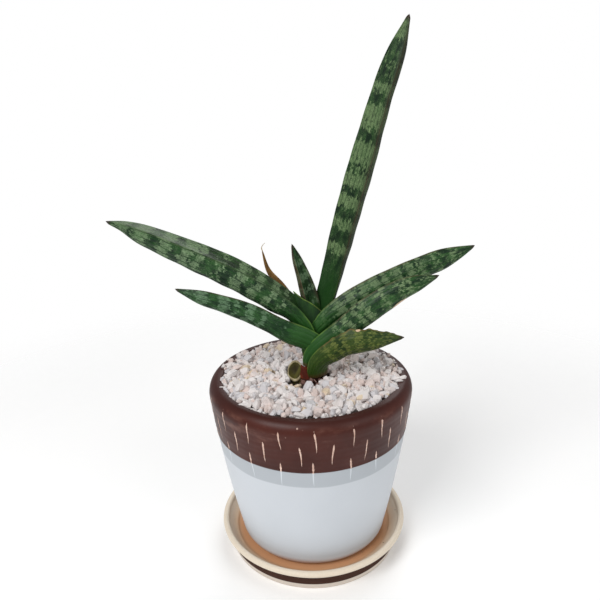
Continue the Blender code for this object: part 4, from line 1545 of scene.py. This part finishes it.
@dataclass
class Plant:
    """The leaves in their order from the outermost in, and the stem below them."""

    def leaves(self) -> list[Leaf]:
        """The banded leaves, with their lines, widths, sections and bands."""
        olive = LeafFinish(pale=paint(112, 122, 60), fresh=paint(58, 78, 26),
                           dark=paint(32, 54, 20), tan=paint(118, 112, 66),
                           base=paint(38, 70, 22), edge=paint(118, 88, 56), strips=28.0,
                           shift=2.0, flecks=0.7, sheath=18.0, tan_share=0.1)
        return [
            Leaf("leaf_front_right",
                 ((4.6, -3.2, 111.3), (4.2, -3.4, 117.4), (6.6, -4, 123.8), (13.8, -5, 130.4),
                  (23.6, -7, 136.4), (38.9, -10.2, 137.8), (53, -13, 137.6)),
                 (12, 14.5, 16, 17.5, 18.5, 16, 9.4, 1), (-0.4, 0.75, 0.6), 1.1, 0.85,
                 ((0, 0), (8, 0.1), (12, 0.5), (16, 0.2), (21, 0.55), (24, 0.25), (27, 0.75),
                  (30, 0.25), (33, 0.7), (36, 0.25), (40, 0.65), (44, 0.3), (48, 0.55),
                  (52, 0.35), (56, 0.5), (62, 0.2)),
                 finish=olive, seed=2.0, wave=0.45, slot="leaf_olive",
                 scars=(Scar(40.0, 0.992, 1.3, 0.014),)),
            Leaf("leaf_right_second",
                 ((0.8, -1.5, 117.5), (2.5, -1.8, 125.9), (8.7, -2.2, 133.6), (18.6, -3, 142),
                  (33.2, -4.5, 155.2), (51.3, -6.5, 166.5), (71.9, -8, 171.8)),
                 (12, 15.5, 15.5, 16, 16.6, 14.6, 10.6, 1), (-0.4, 0.75, 0.6), 1.3, 0.8,
                 ((0, 0), (24.3, 0.1), (30.3, 0.6), (33.3, 0.15), (36.3, 0.9), (40.3, 0.15),
                  (44.3, 0.9), (46.3, 0.3), (49.3, 0.95), (54.3, 0.1), (58.3, 0.35),
                  (62.3, 0.6), (66.3, 0.15), (71.3, 0.45), (76.3, 0.55), (82.3, 0.3),
                  (88.3, 0.5), (93.3, 0.1)),
                 finish=LeafFinish(sheath=30.0), seed=4.0,
                 scars=(Scar(67.5, 0.715, 5.4, 0.05),)),
            Leaf("leaf_left_lower",
                 ((7.4, 1, 117.1), (6.8, 1, 127.5), (-1.6, 0.8, 135.4), (-15, 0.2, 142.2),
                  (-33.6, 0, 152.6), (-54.4, -0.8, 160.4), (-75, -1, 165.9)),
                 (12, 16, 15, 13, 13, 11.3, 8.9, 1), (0.35, 0.7, 0.6), 1.3, 0.85,
                 ((0, 0), (30, 0.1), (38, 0.3), (43, 0.2), (46, 0.15), (50, 0.65), (54, 0.1),
                  (58, 0.95), (63, 0.08), (67, 0.6), (69, 0.2), (73, 0.9), (80, 0.2),
                  (86, 0.8), (92, 0.3), (96, 0.5), (101, 0.1)),
                 finish=LeafFinish(pale=paint(110, 142, 108), sheath=36.0, flecks=0.7), seed=3.0),
            Leaf("leaf_right_upper",
                 ((0.1, 5, 120.9), (1.8, 5.2, 132.6), (9.6, 6.5, 143.4), (20.7, 7.2, 152.8),
                  (45.5, 8.6, 165.9), (70.4, 9, 176.7), (95, 7.8, 184)),
                 (11, 15, 17.5, 20, 18, 15, 12.6, 1.2), (-0.4, 0.7, 0.6), 1.3, 0.8,
                 ((0, 0), (18, 0.1), (24, 0.5), (33, 0.4), (38, 0.9), (42, 0.35), (46, 0.95),
                  (49, 0.25), (54, 0.85), (58, 0.3), (62, 0.9), (65, 0.35), (68, 0.8),
                  (71, 0.3), (75, 0.8), (78, 0.3), (82, 0.75), (86, 0.3), (89, 0.7),
                  (93, 0.2), (98, 0.55), (103, 0.25), (108, 0.55), (113, 0.4), (120, 0.1)),
                 finish=LeafFinish(pale=paint(122, 146, 104), flecks=0.8), seed=5.0),
            Leaf("leaf_left_long",
                 ((4, 4, 124), (3.8, 4, 136), (-1, 4, 147.2), (-12.2, 3.9, 159.4),
                  (-39.4, 3.5, 178), (-75.5, 1.8, 195), (-96, 0.7, 202.9), (-109, 0, 205.2)),
                 (13, 16, 18.4, 19.5, 19.8, 18.6, 16, 12, 1.2), (1, 0, 1), 1.5, 0.8,
                 ((0, 0), (34, 0.1), (40, 0.5), (44, 0.25), (49, 0.75), (53, 0.15),
                  (58.5, 0.95), (63.5, 0.05), (69.5, 1), (75.5, 0.05), (82, 0.5), (91, 0.12),
                  (95, 1), (98, 0.4), (102, 0.95), (108, 0.08), (114.5, 1), (121, 0.02),
                  (128, 1), (134, 0.35), (139, 0.8), (144, 0.5), (148, 0.1)),
                 finish=LeafFinish(pale=paint(132, 158, 118), edge=paint(66, 84, 52),
                                   tan_share=0.1, flecks=0.7), seed=6.0),
            Leaf("leaf_young",
                 ((4.2, 6, 140), (3.2, 6.2, 151), (-0.8, 6.5, 166.4), (-8.6, 7, 188)),
                 (9, 11, 11, 10, 8, 5.5, 0.8), (0.85, -0.7, 0.2), 1.2, 0.7,
                 ((0, 0), (8, 0.1), (12, 0.6), (17, 0.05), (21, 0.7), (25, 0.1), (29.5, 0.9),
                  (35, 0.05), (38, 0.7), (43, 0.2), (49, 0.1)),
                 # Its brownish tan paint covers the belly side: the brown strip there, partly
                 # painted shade.
                 finish=LeafFinish(strips=11.0, shift=1.6, sheath=12.0,
                                   edge=paint(104, 72, 64), tan=paint(82, 60, 50),
                                   pale=paint(118, 146, 112), flecks=0.8,
                                   tan_share=0.05, belly_tan_and_shade=0.55), seed=7.0, rows=90),
            Leaf("leaf_tall",
                 ((2.2, 9, 136.5), (9.6, 9, 156), (20.1, 8, 198), (30.9, 7, 236.7),
                  (41.4, 6, 272), (53.4, 5, 303.8)),
                 (12, 13.2, 13.8, 14.8, 15.2, 15.3, 13.8, 12.4, 10.6, 1.6),
                 (-0.75, -0.75, 0.2), 1.25, 0.55,
                 ((0, 0), (43, 0.02), (47, 0.5), (50, 1), (54.5, 0.02), (58, 0.05),
                  (63, 0.85), (70, 0.12), (77, 0.9), (82, 0.25), (89, 0.85), (95, 0.4),
                  (99, 0.5), (104, 0.85), (108, 0.8), (113, 0.02), (118, 0.62), (122, 0.68),
                  (126, 0.9), (132, 0.1), (136, 0.5), (139, 0.85), (142, 0.35), (147, 0.3),
                  (151, 0.38), (155, 0.3), (160, 0.15), (166, 0.75), (171, 0.6), (175, 0.1)),
                 # Its dark tan paint covers the belly side: painted shade on the side away from
                 # the key light.
                 finish=LeafFinish(pale=paint(122, 148, 100), fresh=paint(28, 62, 26),
                                   dark=paint(10, 34, 16), base=paint(30, 72, 22),
                                   tan=paint(42, 44, 28), tan_share=0.0, belly_tan_and_shade=0.6,
                                   flecks=0.9, sheath=40.0), seed=8.0,
                 rows=170, columns=96),
        ]

    def dry_leaf(self) -> list[bpy.types.Object]:
        """Thin dried leaf, and the curled hair that it ends in."""
        leaf = Leaf("leaf_thin_dry",
                    ((0, 7, 140), (-9.2, 14.5, 151.3), (-15.6, 16.5, 160.2),
                     (-22.8, 17.5, 169.8), (-26.2, 18.5, 182)),
                    (5, 5.8, 6, 5.8, 4.6, 2.6, 0.7), (0.55, -0.6, 0.58), 0.6, 0.3, (),
                    seed=9.0, rows=70, columns=40, furrow=0.05)
        grid, along, _ = leaf.surface()
        brown = DullFinish("dried_leaf", paint(146, 108, 56), paint(88, 62, 30))
        blade = dress(capped_skin(grid, along).to_object("leaf_thin_dry_skin"),
                      brown.material(), "leaf_dry", "leaf_thin_dry")
        curl = tube(((-26.0, 18.4, 181.4), (-26.4, 18.5, 183.2), (-25.6, 18.6, 184.9),
                     (-24.2, 18.6, 186.2)), (0.34, 0.26, 0.18, 0.1), rows=24, columns=10)
        straw = DullFinish("straw_hair", paint(206, 186, 150), paint(168, 142, 104))
        hair = dress(curl.to_object("leaf_thin_dry_hair"), straw.material(), "leaf_dry")
        return [blade, hair]

    def inner_sheath(self) -> list[bpy.types.Object]:
        """Sheath of the long left leaf round the young one's foot, and its margin.

        Each row runs from the sheath's free margin down into the cluster, by
        the share of the way from its upper to its lower line, and bulges
        forwards by the sine of that share.

        Returns:
            The sheath and its yellowish margin.
        """
        upper = ((-8.5, 2.0, 161.4), (-3.7, 0.9, 157.4), (0.3, 0.3, 155.2), (3.2, 0.6, 153.0),
                 (7.5, 2.2, 148.6))
        lower = ((-3.5, 2.4, 143.0), (-1.0, 1.8, 138.0), (1.5, 1.5, 135.0), (4.0, 1.8, 138.0),
                 (7.0, 2.6, 143.0))
        across = np.linspace(0.0, 1.0, 28)
        top, foot = (even_line(np.array(line), across)[0] for line in (upper, lower))
        down = np.linspace(0.0, 1.0, 24)[:, None, None]
        front = top[None] + (foot - top)[None] * down
        front[..., 1] -= 0.9 * np.sin(np.pi * down[..., 0])
        back = front + np.array([0.0, 0.5, 0.0]) + down * np.array([0.0, 0.9, 0.0])
        ring = np.concatenate((front, back[:, ::-1]), axis=1)
        skin = capped_skin(ring, np.linspace(0.0, 18.0, len(down)))
        green = DullFinish("inner_sheath", paint(40, 74, 30), paint(24, 50, 26))
        yellow = DullFinish("sheath_margin", paint(96, 124, 54), paint(78, 92, 44))
        margin = tube(upper, (0.3, 0.34, 0.34, 0.34, 0.3), rows=40, columns=10)
        return [dress(skin.to_object("leaf_inner_sheath"), green.material(), "leaf_green"),
                dress(margin.to_object("leaf_inner_margin"), yellow.material(),
                      "leaf_green")]

    def build(self) -> list[bpy.types.Object]:
        """Build every piece of the plant."""
        pieces = [leaf.build() for leaf in self.leaves()]
        return pieces + self.dry_leaf() + self.inner_sheath() + Stem().build()


# ---------------------------------------------------------------- setting

@dataclass
class Studio:
    """Flat pale floor that fades out far away, soft lights and the camera."""

    eye: Point = (-4.807, -322.327, 268.664)
    pitch: float = 0.334
    roll: float = -0.028
    lens: float = 36.0
    floor_reach: float = 520.0
    floor_fade: float = 260.0
    floor_glow: float = 0.07
    aim: Point = (0.0, 0.0, 110.0)
    surround_light: float = 0.38

    @staticmethod
    def stand(item: bpy.types.Object, side: np.ndarray, top: np.ndarray, back: np.ndarray,
              place: Point) -> None:
        """Link an object and set its three axes and its place.

        Args:
            item: Camera or light.
            side: The direction to its right.
            top: Its upward direction.
            back: The direction behind it.
            place: Its place in millimetres.
        """
        bpy.context.scene.collection.objects.link(item)
        axes = np.eye(4)
        axes[:3] = np.stack((side, top, back, np.array(place) * MM), 1)
        item.matrix_world = Matrix(axes.tolist())

    def camera(self) -> None:
        """Camera that looks along +Y and down by the pitch, leaning by the roll."""
        data = bpy.data.cameras.new("view")
        data.lens = self.lens
        data.sensor_width = 36.0
        data.clip_start = 0.01
        look = np.array([0.0, math.cos(self.pitch), -math.sin(self.pitch)])
        right = np.array([1.0, 0.0, 0.0])
        up = np.cross(right, look)
        item = bpy.data.objects.new("view", data)
        self.stand(item, right * math.cos(self.roll) + up * math.sin(self.roll),
                   up * math.cos(self.roll) - right * math.sin(self.roll), -look, self.eye)
        bpy.context.scene.camera = item

    def floor(self) -> None:
        """Round flat floor that fades into the white surroundings far out."""
        radii = np.array([40.0, 120.0, 250.0, self.floor_reach])
        grid = turned_grid(np.stack((radii, np.zeros(4)), 1), 96)
        item = grid_skin(grid, start=np.array([0.0, 0.0, 0.0])).to_object("studio_floor")
        tree = Coat("pale_floor")
        place = tree.place()
        grain = tree.noise(place, 6.0, 3.0)
        colour = tree.mix(grain, (0.95, 0.95, 0.95, 1.0), (0.98, 0.98, 0.975, 1.0))
        far = tree.node("ShaderNodeVectorMath", operation="LENGTH")
        tree.feed(far.inputs[0], place)
        inputs = tree.shader.inputs
        tree.feed(inputs["Alpha"], tree.fall(far.outputs["Value"], self.floor_fade * MM,
                                             (self.floor_reach - 20.0) * MM))
        inputs["Emission Color"].default_value = WHITE
        inputs["Emission Strength"].default_value = self.floor_glow
        item.data.materials.append(tree.finish(colour, tree.between(grain, 0.85, 0.95),
                                               shine=0.1))

    def light(self, name: str, place: Point, size: float, power: float) -> None:
        """Square soft light aimed at the plant's middle.

        Args:
            name: The light's name.
            place: Its place in millimetres.
            size: Its side in millimetres.
            power: Its power in watts.
        """
        data = bpy.data.lights.new(name, "AREA")
        data.shape = "SQUARE"
        data.size = size * MM
        data.energy = power
        back = np.array(place) - np.array(self.aim)
        back /= np.linalg.norm(back)
        side = np.cross(np.array([0.0, 0.0, 1.0]), back)
        side /= np.linalg.norm(side)
        self.stand(bpy.data.objects.new(name, data), side, np.cross(back, side), back, place)

    def world(self) -> None:
        """White surroundings: bright behind the plant, softer as a light."""
        world = bpy.data.worlds.new("studio")
        bpy.context.scene.world = world
        world.use_nodes = True
        tree = Tree(world.node_tree)
        back = world.node_tree.nodes["Background"]
        rays = tree.node("ShaderNodeLightPath")
        tree.feed(back.inputs["Strength"], tree.between(rays.outputs["Is Camera Ray"],
                                                        self.surround_light, 1.0))
        back.inputs["Color"].default_value = WHITE

    def build(self) -> None:
        """Set the floor, the lights, the surroundings and the camera."""
        self.floor()
        self.light("key", (-520.0, -620.0, 820.0), size=520.0, power=7.2)
        self.light("fill", (650.0, -500.0, 520.0), size=600.0, power=1.9)
        self.light("back", (150.0, 700.0, 800.0), size=600.0, power=3.0)
        self.world()
        self.camera()
        bpy.context.scene.view_settings.view_transform = "Standard"


def main() -> None:
    """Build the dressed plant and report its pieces."""
    logging.basicConfig(level=logging.INFO, format="%(name)s: %(message)s")
    pieces = [Saucer().build()] + Pot().build() + Fill().build() + Plant().build()
    Studio().build()
    LOG.info("%d pieces stand on body %s", len(pieces), BODY)


if __name__ == "__main__":
    main()
